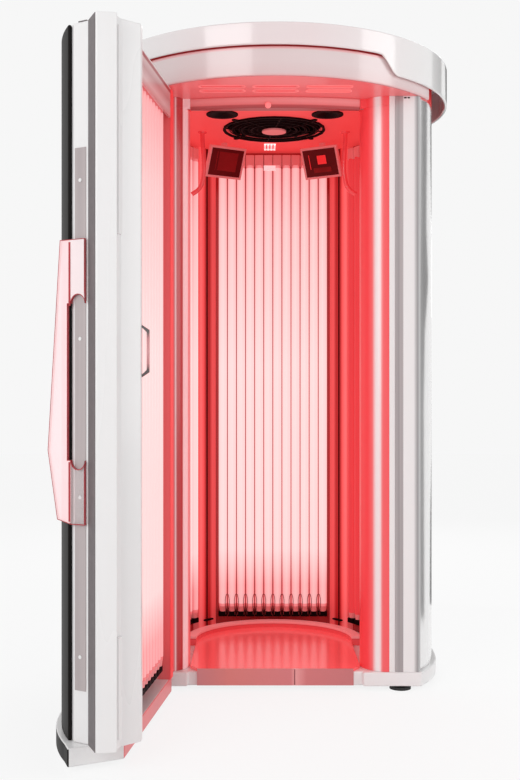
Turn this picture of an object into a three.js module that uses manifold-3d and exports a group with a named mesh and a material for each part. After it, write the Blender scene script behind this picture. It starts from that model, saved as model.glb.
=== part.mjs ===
// Vertical tanning booth: a round cabin of lamp tubes with a swinging front door.
// Millimetres, +Z up. The origin is on the floor under the cabin's axis,
// +X is the latch side of the doorway and the doorway faces -Y.
// The door stands open, as it does when someone steps in.

import * as THREE from 'three';
import { mergeVertices } from 'three/addons/utils/BufferGeometryUtils.js';
import Module from 'manifold-3d';

const wasm = await Module();
wasm.setup();

// Clearances
const SEAM = 0.3;
const PIN_CLEARANCE = 0.4;
const DOOR_SWEEP_GAP = 4;

// Heights, stacked from the floor up
const FOOT_HEIGHT = 16;
const PLINTH_HEIGHT = 50;
const WALL_HEIGHT = 2067;
const PLATFORM_THICKNESS = 11;
const CEILING_DROP = 33;
const CEILING_THICKNESS = 10;
const SOFFIT_THICKNESS = 8;
const CROWN_HEIGHT = 177;
const ROOF_THICKNESS = 8;
const ROOF_DROP = 12;

// Plan of the outer wall: a rounded square drawn as a superellipse
const WALL_HALF_WIDTH = 605;
const WALL_HALF_DEPTH = 560;
const WALL_SQUARENESS = 2.8;
const WALL_THICKNESS = 12;
const WALL_STEPS = 9;
const REAR_STEPS = 14;
const REAR_WALL_ANGLE = 40;

// Base
const PLINTH_FLARE = 16;
const PLINTH_FRONT_LIP = 7;
const PLATFORM_FRONT_Y = -398;
const PLATFORM_FRONT_HALF = 280;
const PLATFORM_CORNER_LENGTH = 48;
const PLATFORM_GAP = 3;
const PLATFORM_REAR_Y = 283;
const PLATFORM_STEPS = 20;
const RIM_WIDTH = 38;
const RIM_HEIGHT = 36;
const KICK_THICKNESS = 4;
const KICK_FOOT_GAP = 1.6;
const KICK_OVERHANG = 1;
const FOOT_PAD_RADIUS = 39;
const FOOT_PAD_HEIGHT = 10;
const FOOT_NECK_RADIUS = 13;
const FOOT_SIDES = 20;
const FOOT_X = 452;
const FOOT_FRONT_Y = -372;
const FOOT_REAR_Y = 380;

// Front posts, on both sides of the doorway
const OPENING_HALF = 311;
const COLUMN_RADIUS = 98;
const COLUMN_Y = -307;
const COLUMN_STEPS = 9;
const JAMB_THICKNESS = 6;
const POST_DEPTH = 65;
const POST_FLANGE_DEPTH = 24;
const POST_FLANGE_CHAMFER = 11;
const POST_RIB_WIDTH = 21;
const POST_RIB_SETBACK = 2;
const STRIP_WIDTH = 28;
const STRIP_DEPTH = 14.5;
const HINGE_STRIP_PROUD = 4;

// Header over the doorway
const HEADER_DROP = 8;
const HEADER_BACK_Y = -350;
const HEADER_END_Y = -366;
const HEADER_BULGE = 34;
const HEADER_STEPS = 12;

// Lamp panels
const TUBE_RADIUS = 18;
const TUBE_SIDES = 8;
const TUBE_SOCKET_DEPTH = 6;
const REFLECTOR_THICKNESS = 4;
const SIDE_REFLECTOR_RADIUS = 425;
const SIDE_LAMP_SETBACK = 25;
const SIDE_FRONT_ANGLE = -25;
const SIDE_REAR_ANGLE = 38;
const SIDE_LAMPS = 10;
const SIDE_STEPS = 12;
const REAR_HALF = 245;
const REAR_REFLECTOR_Y = 387;
const REAR_LAMP_SETBACK = 25;
const REAR_LAMPS = 12;
const REAR_PITCH = 39;
const RAIL_DEPTH = 40;
const RAIL_HEIGHT = 50;
const RAIL_BOTTOM = 40;
const RAIL_TOP_GAP = 14;
const RAIL_END_MARGIN = 1.2;

// Rear corner pillars
const PILLAR_FRONT_OFFSET = 20;
const PILLAR_BACK_OFFSET = 10;
const PILLAR_BACK_WIDTH = 44;
const PILLAR_SIDE_ANGLE = 1.5;
const PILLAR_SLIT_WIDTH = 10;
const PILLAR_SLIT_DEPTH = 14;

// Ceiling fan
const FAN_Y = -50;
const FAN_HOLE_RADIUS = 186;
const FAN_SIDES = 24;
const FAN_DUCT_WALL = 6;
const FAN_DUCT_HEIGHT = 74;
const FAN_ARM_WIDTH = 24;
const FAN_ARM_HEIGHT = 10;
const FAN_MOTOR_RADIUS = 44;
const FAN_MOTOR_HEIGHT = 30;
const FAN_HUB_RADIUS = 38;
const FAN_HUB_HEIGHT = 26;
const FAN_HUB_LIFT = 6;
const FAN_SHAFT_RADIUS = 6;
const FAN_BLADES = 5;
const FAN_BLADE_WIDTH = 64;
const FAN_BLADE_THICKNESS = 3;
const FAN_BLADE_PITCH = 22;
const FAN_TIP_GAP = 8;
const GUARD_RADIUS = 200;
const GUARD_BAND = 9;
const GUARD_WIRE = 5;
const GUARD_RINGS = 4;
const GUARD_SPOKES = 8;
const GUARD_HEIGHT = 7;
const GUARD_RELIEF = 1.5;
const GUARD_HUB_RADIUS = 50;
const GUARD_TABS = 4;
const GUARD_TAB_LENGTH = 22;
const GUARD_TAB_WIDTH = 14;
const CAP_RADIUS = 47;
const CAP_HEIGHT = 6;

// Speakers
const SPEAKER_X = 195;
const SPEAKER_Y = -280;
const SPEAKER_RADIUS = 59;
const SPEAKER_FLANGE = 4;
const SPEAKER_BASKET_RADIUS = 46;
const SPEAKER_BASKET_HEIGHT = 26;
const SPEAKER_DUST_CAP_RADIUS = 14;
const SPEAKER_CONE_DEPTH = 12;
const SPEAKER_SIDES = 24;

// Control panels
const PANEL_X = 195;
const PANEL_Y = 180;
const PANEL_DROP = 84;
const PANEL_WIDTH = 165;
const PANEL_HEIGHT = 130;
const PANEL_THICKNESS = 16;
const PANEL_FRAME = 9;
const PANEL_YAW = 30;
const PANEL_TILT = 24;
const PANEL_ARM_RADIUS = 13;
const PANEL_ARM_SIDES = 12;
const SCREEN_THICKNESS = 4;
const SCREEN_POCKET = 3;

// Hand grips
const GRIP_X = 283;
const GRIP_Y = 0;
const GRIP_RADIUS = 9;
const GRIP_SIDES = 8;
const GRIP_LENGTH = 205;
const GRIP_BEND = 42;
const GRIP_FLANGE_RADIUS = 18;
const GRIP_FLANGE_HEIGHT = 5;
const GRIP_STEPS = 14;

// Crown
const HALO_RADIUS = 675;
const HALO_THICKNESS = 12;
const HALO_SIDE_LIFT = 37;
const HALO_FRONT_LIFT = 101;
const HALO_NOTCH_TOP_HALF = 366;
const HALO_NOTCH_BOTTOM_HALF = 420;
const HALO_NOTCH_HINGE_EXTRA = 110;
const HALO_STEPS = 60;
const DRUM_CORNER_GAP = 19.4;
const FASCIA_GAP = 3;
const FASCIA_THICKNESS = 10;
const FASCIA_SHADOW_GAP = 6;
const FASCIA_HALF_ANGLE = 58;
const FASCIA_STEPS = 24;
const SOFFIT_HOLE_INSET = 62;
const SLOT_LENGTH = 140;
const SLOT_WIDTH = 18;
const SLOT_PITCH_X = 188;
const SLOT_ROW_SETBACK = 124.7;
const SLOT_ROW_PITCH = 55;
const SLOT_END_STEPS = 5;

// Cable gland at the rear
const GLAND_RADIUS = 15;
const GLAND_LENGTH = 20;
const GLAND_BORE_RADIUS = 6;
const GLAND_BORE_DEPTH = 12;
const GLAND_HEIGHT = 70;
const GLAND_SIDES = 12;

// Door: hinge line, thickness of its pieces and the shape of its folded free edge
const DOOR_OPEN_ANGLE = 96.5;
const HINGE_FROM_COLUMN_X = 9;
const HINGE_FROM_COLUMN_Y = -149;
const DOOR_TOP_GAP = 5;
const DOOR_BASE_LIFT = 4;
const DOOR_INNER_DEPTH = 40;
const DOOR_SKIN_RADIUS = 672;
const DOOR_SKIN_THICKNESS = 10.7;
const DOOR_SKIN_STEPS = 18;
const DOOR_SKIN_EDGE_SETBACK = 1.3;
const DOOR_HINGE_EDGE = 5;
const HINGE_STILE_WIDTH = 60;
const HINGE_STILE_NOSE = 16;
const HINGE_STILE_HEEL = 22;
const EDGE_CORNER = { x: -59, y: -254 };
const EDGE_FOLD = { x: -38, y: -205 };
const EDGE_TIP = { x: 35, y: -163 };
const EDGE_STOP = { x: 19, y: -106 };
const EDGE_NOTCH_OUTER = { x: 6, y: -115 };
const EDGE_NOTCH_INNER = { x: -31, y: -109 };
const EDGE_SEAL_ANGLE = 241;
const EDGE_SEAL_GAP = 7;
const EDGE_NOSE_ANGLE = 217;
const EDGE_NOSE_GAP = 5;
const LATCH_STILE_WALL = 21;
const EDGE_STRIP_UPPER_BOTTOM = 1515;
const EDGE_STRIP_LOWER_TOP = 386;
const EDGE_STRIP_END = 30;
const EDGE_STRIP_MARGIN = 2;
const EDGE_STRIP_NOSE = 3;
const COVER_BOTTOM = 221;
const COVER_TOP = 1769;
const COVER_THICKNESS = 2;
const COVER_MARGIN = 7;
const COVER_SCREW_RADIUS = 5;
const COVER_SCREW_HEIGHT = 1.6;
const COVER_SCREW_SIDES = 10;
const COVER_SCREW_HEIGHTS = [317, 772, 1224, 1676];
const DOOR_LID_THICKNESS = 8;
const DOOR_APRON_HEIGHT = 102;
const DOOR_APRON_THICKNESS = 8;
const DOOR_REFLECTOR_DEPTH = 62;
const DOOR_LAMPS = 13;
const DOOR_PITCH = 45;
const DOOR_TUBE_GAP = 7;
const DOOR_PLINTH_EDGE = 16;

// Door hinge brackets
const PIN_RADIUS = 8;
const PIN_SIDES = 12;
const PIN_DEPTH = 60;
const BRACKET_THICKNESS = 4;
const BRACKET_HALF_WIDTH = 28;
const BRACKET_REACH = 24;
const LOWER_BRACKET_OVERLAP = 30;

// Door handles
const HANDLE_THICKNESS = 8;
const HANDLE_TOP = 1508;
const HANDLE_BOTTOM = 694;
const HANDLE_BELLY_Z = 904;
const HANDLE_BELLY = 85;
const HANDLE_TOP_WIDTH = 40;
const HANDLE_BOTTOM_WIDTH = 50;
const HANDLE_PAD_WIDTH = 50;
const HANDLE_PAD_HEIGHT = 184;
const HANDLE_INNER_EDGE = 12;
const HANDLE_HOLLOW = 26;
const PULL_BOTTOM = 1115;
const PULL_HEIGHT = 150;
const PULL_DEPTH = 21;
const PULL_BAR = 7;
const PULL_TAPER = 14;
const PULL_WIDTH = 9;
const PULL_EDGE_GAP = 3;

// Levels that follow from the stack of heights
const PLINTH_TOP = FOOT_HEIGHT + PLINTH_HEIGHT;
const STAND = PLINTH_TOP + SEAM;
const WALL_TOP = PLINTH_TOP + WALL_HEIGHT;
const CEILING_BOTTOM = WALL_TOP - CEILING_DROP;
const CEILING_TOP = CEILING_BOTTOM + CEILING_THICKNESS;
const LINING_TOP = CEILING_BOTTOM - SEAM;
const SOFFIT_BOTTOM = WALL_TOP + SEAM;
const SOFFIT_TOP = SOFFIT_BOTTOM + SOFFIT_THICKNESS;
const CROWN_TOP = WALL_TOP + CROWN_HEIGHT;
const ROOF_TOP = CROWN_TOP - ROOF_DROP;
const ROOF_BOTTOM = ROOF_TOP - ROOF_THICKNESS;
const DOOR_TOP = WALL_TOP - DOOR_TOP_GAP;
const DOOR_BASE = PLINTH_TOP + DOOR_BASE_LIFT;
const RAIL_LOW = PLINTH_TOP + RAIL_BOTTOM;
const RAIL_HIGH = CEILING_BOTTOM - RAIL_TOP_GAP - RAIL_HEIGHT;

// Plan points that follow from the sizes
const COLUMN_X = OPENING_HALF + COLUMN_RADIUS;
const POST_FRONT_Y = COLUMN_Y - COLUMN_RADIUS;
const WALL_FRONT_Y = POST_FRONT_Y + POST_FLANGE_DEPTH + SEAM;
const POST_OUT_X = wallX(WALL_FRONT_Y, 0);
const WALL_START = Math.atan2(WALL_FRONT_Y, POST_OUT_X);
const PLINTH_FRONT_Y = POST_FRONT_Y - PLINTH_FRONT_LIP;
const HINGE_X = -COLUMN_X + HINGE_FROM_COLUMN_X;
const HINGE_Y = COLUMN_Y + HINGE_FROM_COLUMN_Y;
const FASCIA_RADIUS = HALO_RADIUS - HALO_THICKNESS - FASCIA_GAP;
const SOFFIT_RADIUS = FASCIA_RADIUS - FASCIA_THICKNESS - SEAM;

// Finishes
const finish = (color, roughness, metalness) =>
  new THREE.MeshStandardMaterial({ color, roughness, metalness });
const WHITE = finish(0xecebeb, 0.3, 0.0);
const DARK_SKIN = finish(0x1a1416, 0.25, 0.0);
const GREY_METAL = finish(0xaca3a6, 0.4, 0.9);
const CHROME = finish(0xd8d4d5, 0.15, 1.0);
const RED_LINING = finish(0xf04b4e, 0.35, 0.0);
const RED_FLOOR = finish(0xeb4b50, 0.1, 0.0);
const ROSE = finish(0xcd8287, 0.4, 0.0);
const PALE_ROSE = finish(0xf5b4b4, 0.35, 0.0);
const LAMP = finish(0xfdd7d7, 0.3, 0.0);
const MIRROR_SHEET = finish(0xf6a0a2, 0.15, 0.9);
const BLACK = finish(0x190a0c, 0.5, 0.0);
const SCREEN_GLASS = finish(0x5f0a0c, 0.08, 0.0);
const ACRYLIC = finish(0xfadee0, 0.08, 0.0);
const RUBBER = finish(0x151515, 0.8, 0.0);

// Geometry helpers

function rad(angle) {
  return THREE.MathUtils.degToRad(angle);
}

function polar(radius, angle, x = 0, y = 0) {
  return [x + radius * Math.cos(angle), y + radius * Math.sin(angle)];
}

function span(from, to, steps) {
  return Array.from({ length: steps + 1 }, (_, i) => from + ((to - from) * i) / steps);
}

function arc(radius, from, to, steps, x = 0, y = 0) {
  return span(from, to, steps).map((angle) => polar(radius, angle, x, y));
}

function mirrored(points) {
  return points.map(([x, y]) => [-x, y]);
}

function sided(points, side) {
  return side > 0 ? points : mirrored(points);
}

function path(points) {
  return points.map(([x, y]) => new THREE.Vector2(x, y));
}

function prism(points, bottom, top, holes = []) {
  const shape = new THREE.Shape(path(points));
  shape.holes = holes.map((hole) => new THREE.Path(path(hole)));
  const geometry = new THREE.ExtrudeGeometry(shape, { depth: top - bottom, bevelEnabled: false });
  return geometry.translate(0, 0, bottom);
}

function block(x0, x1, y0, y1, z0, z1) {
  const geometry = new THREE.BoxGeometry(x1 - x0, y1 - y0, z1 - z0);
  return geometry.translate((x0 + x1) / 2, (y0 + y1) / 2, (z0 + z1) / 2);
}

function rod(x, y, radius, bottom, top, sides) {
  const geometry = new THREE.CylinderGeometry(radius, radius, top - bottom, sides);
  return geometry.rotateX(Math.PI / 2).translate(x, y, (bottom + top) / 2);
}

// A turned body about the vertical axis; the profile runs from bottom to top, outside first
function turned(profile, sides, x = 0, y = 0) {
  const geometry = new THREE.LatheGeometry(path(profile), sides);
  return geometry.rotateX(Math.PI / 2).translate(x, y, 0);
}

function ring(outer, inner, bottom, top, sides, x = 0, y = 0) {
  const turn = Math.PI * 2;
  const round = (radius) => arc(radius, 0, turn, sides, x, y).slice(0, -1);
  return prism(round(outer), bottom, top, [round(inner)]);
}

function solid(geometry) {
  const bare = geometry.clone();
  bare.deleteAttribute('normal');
  bare.deleteAttribute('uv');
  const merged = mergeVertices(bare, 1e-4);
  const mesh = new wasm.Mesh({
    numProp: 3,
    vertProperties: new Float32Array(merged.attributes.position.array),
    triVerts: new Uint32Array(merged.index.array),
  });
  return new wasm.Manifold(mesh);
}

function surface(body) {
  const mesh = body.getMesh();
  const geometry = new THREE.BufferGeometry();
  geometry.setAttribute('position', new THREE.BufferAttribute(new Float32Array(mesh.vertProperties), 3));
  geometry.setIndex(new THREE.BufferAttribute(new Uint32Array(mesh.triVerts), 1));
  geometry.computeVertexNormals();
  return geometry;
}

function join(...geometries) {
  return surface(geometries.map(solid).reduce((sum, next) => sum.add(next)));
}

function cut(geometry, ...tools) {
  return surface(tools.map(solid).reduce((rest, tool) => rest.subtract(tool), solid(geometry)));
}

// Half width of the wall's plan at a given depth, and its radius at a given angle
function wallX(y, inset) {
  const share = Math.abs(y) / (WALL_HALF_DEPTH - inset);
  return (WALL_HALF_WIDTH - inset) * (1 - share ** WALL_SQUARENESS) ** (1 / WALL_SQUARENESS);
}

function wallPoint(angle, inset) {
  const across = Math.abs(Math.cos(angle)) / (WALL_HALF_WIDTH - inset);
  const along = Math.abs(Math.sin(angle)) / (WALL_HALF_DEPTH - inset);
  const radius = (across ** WALL_SQUARENESS + along ** WALL_SQUARENESS) ** (-1 / WALL_SQUARENESS);
  return polar(radius, angle);
}

const booth = new THREE.Group();

function add(name, geometry, material, parent = booth) {
  const mesh = new THREE.Mesh(geometry, material);
  mesh.name = name;
  parent.add(mesh);
  return mesh;
}

// Wall angles, shared by every piece that follows the wall
const rightAngles = span(WALL_START, rad(REAR_WALL_ANGLE), WALL_STEPS);
const rearAngles = span(rad(REAR_WALL_ANGLE), Math.PI - rad(REAR_WALL_ANGLE), REAR_STEPS);
const leftAngles = rightAngles.map((angle) => Math.PI - angle).reverse();
const wallAngles = [...rightAngles, ...rearAngles.slice(1), ...leftAngles.slice(1)];
const frontAngles = span(Math.PI - WALL_START, Math.PI * 2 + WALL_START, FASCIA_STEPS).slice(1, -1);

function wallLine(inset, angles = wallAngles) {
  return angles.map((angle) => wallPoint(angle, inset));
}

// Base: a board on five feet, with the platform, its rim and the kick plate

const plinthCornerX = POST_OUT_X + PLINTH_FLARE / 2;
const recessX = OPENING_HALF + PLATFORM_GAP;
add('base_plinth', prism([
  ...wallLine(-PLINTH_FLARE),
  [-plinthCornerX, PLINTH_FRONT_Y],
  [-recessX, PLINTH_FRONT_Y],
  [-recessX, PLATFORM_FRONT_Y],
  [recessX, PLATFORM_FRONT_Y],
  [recessX, PLINTH_FRONT_Y],
  [plinthCornerX, PLINTH_FRONT_Y],
], FOOT_HEIGHT, PLINTH_TOP), WHITE);

const platformHalf = OPENING_HALF - PLATFORM_GAP;
function floorArc(grow) {
  const scaleY = (PLATFORM_REAR_Y + grow) / (platformHalf + grow);
  return arc(platformHalf + grow, 0, Math.PI, PLATFORM_STEPS).map(([x, y]) => [x, y * scaleY]);
}
const platformSideY = PLATFORM_FRONT_Y + PLATFORM_CORNER_LENGTH;
const platformTop = STAND + PLATFORM_THICKNESS;
add('floor_platform', prism([
  [-PLATFORM_FRONT_HALF, PLATFORM_FRONT_Y],
  [PLATFORM_FRONT_HALF, PLATFORM_FRONT_Y],
  [platformHalf, platformSideY],
  ...floorArc(0),
  [-platformHalf, platformSideY],
], STAND, platformTop), RED_FLOOR);
add('floor_rim', prism([
  ...floorArc(SEAM),
  ...floorArc(RIM_WIDTH).reverse(),
], STAND, STAND + RIM_HEIGHT), PALE_ROSE);

const kickBackY = PLATFORM_FRONT_Y - SEAM;
const kickHalf = PLATFORM_FRONT_HALF + KICK_OVERHANG;
add('kick_plate', block(
  -kickHalf, kickHalf, kickBackY - KICK_THICKNESS, kickBackY, FOOT_HEIGHT + KICK_FOOT_GAP, platformTop,
), ROSE);

const footProfile = [
  [0, 0],
  [FOOT_PAD_RADIUS, 0],
  [FOOT_PAD_RADIUS, FOOT_PAD_HEIGHT],
  [FOOT_NECK_RADIUS, FOOT_PAD_HEIGHT],
  [FOOT_NECK_RADIUS, FOOT_HEIGHT - SEAM],
  [0, FOOT_HEIGHT - SEAM],
];
const feet = {
  foot_front_right: [FOOT_X, FOOT_FRONT_Y],
  foot_front_left: [-FOOT_X, FOOT_FRONT_Y],
  foot_rear_right: [FOOT_X, FOOT_REAR_Y],
  foot_rear_left: [-FOOT_X, FOOT_REAR_Y],
  foot_centre: [0, 0],
};
for (const [name, [x, y]] of Object.entries(feet)) {
  add(name, turned(footProfile, FOOT_SIDES), RUBBER).position.set(x, y, 0);
}

// Outer wall in three panels

function wallPanel(name, angles) {
  const trim = SEAM / WALL_HALF_WIDTH;
  const ends = angles.slice();
  ends[0] += trim;
  ends[ends.length - 1] -= trim;
  const outer = wallLine(0, ends);
  const inner = wallLine(WALL_THICKNESS, ends);
  add(name, prism([...outer, ...inner.reverse()], STAND, WALL_TOP), WHITE);
}
wallPanel('right_wall', rightAngles);
wallPanel('rear_wall', rearAngles);
wallPanel('left_wall', leftAngles);

// Doorway: outer post with a metal strip in its channel, and a quarter-round inner column

const ribX = COLUMN_X + SEAM;
const stripX = ribX + POST_RIB_WIDTH + SEAM;
const flangeX = stripX + STRIP_WIDTH + SEAM;
const channelY = POST_FRONT_Y + STRIP_DEPTH + SEAM;
const ribY = POST_FRONT_Y + POST_RIB_SETBACK;
const postBackY = ribY + POST_DEPTH;
const postInnerX = POST_OUT_X - WALL_THICKNESS - SEAM;
const flangeBackY = POST_FRONT_Y + POST_FLANGE_DEPTH;
const postPlan = [
  [ribX, ribY],
  [stripX - SEAM, ribY],
  [stripX - SEAM, channelY],
  [flangeX, channelY],
  [flangeX, POST_FRONT_Y],
  [POST_OUT_X - POST_FLANGE_CHAMFER, POST_FRONT_Y],
  [POST_OUT_X, POST_FRONT_Y + POST_FLANGE_CHAMFER],
  [POST_OUT_X, flangeBackY],
  [postInnerX, flangeBackY],
  [postInnerX, postBackY],
  [ribX, postBackY],
];
const jambEnd = rad(SIDE_FRONT_ANGLE) - SEAM / SIDE_REFLECTOR_RADIUS;
const columnPlan = [
  ...arc(COLUMN_RADIUS, Math.PI * 1.5, Math.PI, COLUMN_STEPS, COLUMN_X, COLUMN_Y),
  polar(SIDE_REFLECTOR_RADIUS, jambEnd),
  polar(SIDE_REFLECTOR_RADIUS + JAMB_THICKNESS, jambEnd),
  [OPENING_HALF + JAMB_THICKNESS * 2, COLUMN_Y],
  [COLUMN_X, COLUMN_Y],
];

function doorPost(name, side, strip, stripFrontY) {
  add(`${name}_post`, prism(sided(postPlan, side), STAND, WALL_TOP), WHITE);
  add(`${name}_column`, prism(sided(columnPlan, side), STAND, LINING_TOP), RED_LINING);
  const stripPlan = [
    [stripX, stripFrontY],
    [stripX + STRIP_WIDTH, stripFrontY],
    [stripX + STRIP_WIDTH, channelY - SEAM],
    [stripX, channelY - SEAM],
  ];
  add(`${name}_strip`, prism(sided(stripPlan, side), STAND, WALL_TOP), strip);
}
doorPost('latch', 1, GREY_METAL, POST_FRONT_Y);
doorPost('hinge', -1, CHROME, POST_FRONT_Y + HINGE_STRIP_PROUD);

const headerHalf = OPENING_HALF - PLATFORM_GAP;
add('door_header', prism([
  ...span(-headerHalf, headerHalf, HEADER_STEPS).map((x) => [
    x, HEADER_END_Y - HEADER_BULGE * (1 - (x / headerHalf) ** 2),
  ]),
  [headerHalf, HEADER_BACK_Y],
  [-headerHalf, HEADER_BACK_Y],
], CEILING_BOTTOM - HEADER_DROP, WALL_TOP), PALE_ROSE);

// Lamp panels: reflector sheets with tubes held between two socket rails

function tubes(places, bottom, top) {
  return places.map(([x, y]) => rod(x, y, TUBE_RADIUS, bottom, top, TUBE_SIDES));
}

function lampBank(railPlan, places, low, high) {
  return join(
    prism(railPlan, low, low + RAIL_HEIGHT),
    prism(railPlan, high, high + RAIL_HEIGHT),
    ...tubes(places, low + RAIL_HEIGHT - TUBE_SOCKET_DEPTH, high + TUBE_SOCKET_DEPTH),
  );
}

const sideFront = rad(SIDE_FRONT_ANGLE);
const sideRear = rad(SIDE_REAR_ANGLE);
const sideTrim = rad(RAIL_END_MARGIN);
const railOuter = SIDE_REFLECTOR_RADIUS - SEAM;
const sideLampRadius = SIDE_REFLECTOR_RADIUS - SIDE_LAMP_SETBACK;
const tubeAngle = TUBE_RADIUS / sideLampRadius + sideTrim;
const sideReflectorPlan = [
  ...arc(SIDE_REFLECTOR_RADIUS, sideFront, sideRear, SIDE_STEPS),
  ...arc(SIDE_REFLECTOR_RADIUS + REFLECTOR_THICKNESS, sideRear, sideFront, SIDE_STEPS),
];
const sideRailPlan = [
  ...arc(railOuter - RAIL_DEPTH, sideFront + sideTrim, sideRear - sideTrim, SIDE_STEPS),
  ...arc(railOuter, sideRear, sideFront, SIDE_STEPS),
];
const sidePlaces = arc(sideLampRadius, sideFront + tubeAngle, sideRear - tubeAngle, SIDE_LAMPS - 1);
for (const [name, side] of [['right', 1], ['left', -1]]) {
  add(`${name}_reflector`, prism(sided(sideReflectorPlan, side), STAND, LINING_TOP), MIRROR_SHEET);
  add(`${name}_lamp_bank`, lampBank(
    sided(sideRailPlan, side), sided(sidePlaces, side), RAIL_LOW, RAIL_HIGH,
  ), LAMP);
}

add('rear_reflector', block(
  -REAR_HALF, REAR_HALF, REAR_REFLECTOR_Y, REAR_REFLECTOR_Y + REFLECTOR_THICKNESS, STAND, LINING_TOP,
), MIRROR_SHEET);
const rearRailBack = REAR_REFLECTOR_Y - SEAM;
const rearRailHalf = REAR_HALF - RAIL_END_MARGIN;
const rearLampY = REAR_REFLECTOR_Y - REAR_LAMP_SETBACK;
const rearPlaces = span(-0.5, 0.5, REAR_LAMPS - 1).map((t) => [t * REAR_PITCH * (REAR_LAMPS - 1), rearLampY]);
add('rear_lamp_bank', lampBank([
  [-rearRailHalf, rearRailBack - RAIL_DEPTH],
  [rearRailHalf, rearRailBack - RAIL_DEPTH],
  [rearRailHalf, rearRailBack],
  [-rearRailHalf, rearRailBack],
], rearPlaces, RAIL_LOW, RAIL_HIGH), LAMP);

// Rear corner pillars, each with a slit down its front face

const pillarX = REAR_HALF + SEAM;
const pillarAngle = sideRear + rad(PILLAR_SIDE_ANGLE);
const pillarNear = [pillarX, rearLampY - PILLAR_FRONT_OFFSET];
const pillarFar = polar(SIDE_REFLECTOR_RADIUS - PILLAR_FRONT_OFFSET, pillarAngle);
const pillarFace = new THREE.Vector2(pillarNear[0] - pillarFar[0], pillarNear[1] - pillarFar[1]);
const pillarMiddle = new THREE.Vector2(...pillarFar).addScaledVector(pillarFace, 0.5);
const pillarAlong = pillarFace.clone().normalize();
const pillarInto = new THREE.Vector2(pillarAlong.y, -pillarAlong.x);
function slitPoint(along, into) {
  const point = pillarMiddle.clone().addScaledVector(pillarAlong, along).addScaledVector(pillarInto, into);
  return [point.x, point.y];
}
const pillarBackY = REAR_REFLECTOR_Y + PILLAR_BACK_OFFSET;
const pillarPlan = [
  pillarFar,
  slitPoint(-PILLAR_SLIT_WIDTH / 2, 0),
  slitPoint(-PILLAR_SLIT_WIDTH / 2, PILLAR_SLIT_DEPTH),
  slitPoint(PILLAR_SLIT_WIDTH / 2, PILLAR_SLIT_DEPTH),
  slitPoint(PILLAR_SLIT_WIDTH / 2, 0),
  pillarNear,
  [pillarX, pillarBackY],
  [pillarX + PILLAR_BACK_WIDTH, pillarBackY],
  polar(SIDE_REFLECTOR_RADIUS + PILLAR_BACK_OFFSET, pillarAngle),
];
add('right_pillar', prism(pillarPlan, STAND, LINING_TOP), RED_LINING);
add('left_pillar', prism(mirrored(pillarPlan), STAND, LINING_TOP), RED_LINING);

// Ceiling with the fan and speaker openings

const ceilingEdge = wallLine(WALL_THICKNESS + SEAM).filter(([, y]) => y > COLUMN_Y + DOOR_SWEEP_GAP);
const ceilingStepY = COLUMN_Y + SEAM;
const ceilingFrontY = HEADER_BACK_Y + SEAM;
const fanCircle = arc(FAN_HOLE_RADIUS, 0, Math.PI * 2, FAN_SIDES, 0, FAN_Y).slice(0, -1);
const basketHole = SPEAKER_BASKET_RADIUS + SEAM;
const speakerCircle = arc(basketHole, 0, Math.PI * 2, SPEAKER_SIDES, SPEAKER_X, SPEAKER_Y).slice(0, -1);
add('ceiling_panel', prism([
  ...ceilingEdge,
  [-COLUMN_X, ceilingStepY],
  [-headerHalf, ceilingStepY],
  [-headerHalf, ceilingFrontY],
  [headerHalf, ceilingFrontY],
  [headerHalf, ceilingStepY],
  [COLUMN_X, ceilingStepY],
], CEILING_BOTTOM, CEILING_TOP, [fanCircle, speakerCircle, mirrored(speakerCircle)]), RED_LINING);

// Fan: duct with a motor spider above, turning rotor, guard and cap below

const ductInner = FAN_HOLE_RADIUS + SEAM;
const ductBottom = CEILING_TOP + SEAM;
const ductTop = ductBottom + FAN_DUCT_HEIGHT;
const armReach = ductInner + FAN_DUCT_WALL / 2;
const armBottom = ductTop - FAN_ARM_HEIGHT;
const motorBottom = ductTop - FAN_MOTOR_HEIGHT;
add('fan_housing', join(
  ring(ductInner + FAN_DUCT_WALL, ductInner, ductBottom, ductTop, FAN_SIDES),
  block(-armReach, armReach, -FAN_ARM_WIDTH / 2, FAN_ARM_WIDTH / 2, armBottom, ductTop),
  block(-FAN_ARM_WIDTH / 2, FAN_ARM_WIDTH / 2, -armReach, armReach, armBottom, ductTop),
  rod(0, 0, FAN_MOTOR_RADIUS, motorBottom, ductTop, FAN_SIDES / 2),
), BLACK).position.set(0, FAN_Y, 0);

const hubBottom = CEILING_BOTTOM + FAN_HUB_LIFT;
const hubTop = hubBottom + FAN_HUB_HEIGHT;
const bladeReach = FAN_HOLE_RADIUS - FAN_TIP_GAP;
const bladeStart = FAN_HUB_RADIUS / 2;
const blades = span(0, Math.PI * 2, FAN_BLADES).slice(0, -1).map((angle) => {
  const half = FAN_BLADE_THICKNESS / 2;
  const blade = block(bladeStart, bladeReach, -FAN_BLADE_WIDTH / 2, FAN_BLADE_WIDTH / 2, -half, half);
  return blade.rotateX(rad(FAN_BLADE_PITCH)).rotateZ(angle).translate(0, 0, (hubBottom + hubTop) / 2);
});
add('fan_rotor', join(
  rod(0, 0, FAN_HUB_RADIUS, hubBottom, hubTop, FAN_SIDES / 2),
  rod(0, 0, FAN_SHAFT_RADIUS, hubTop - SEAM, motorBottom - SEAM, FAN_SIDES / 4),
  ...blades,
), BLACK).position.set(0, FAN_Y, 0);

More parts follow.
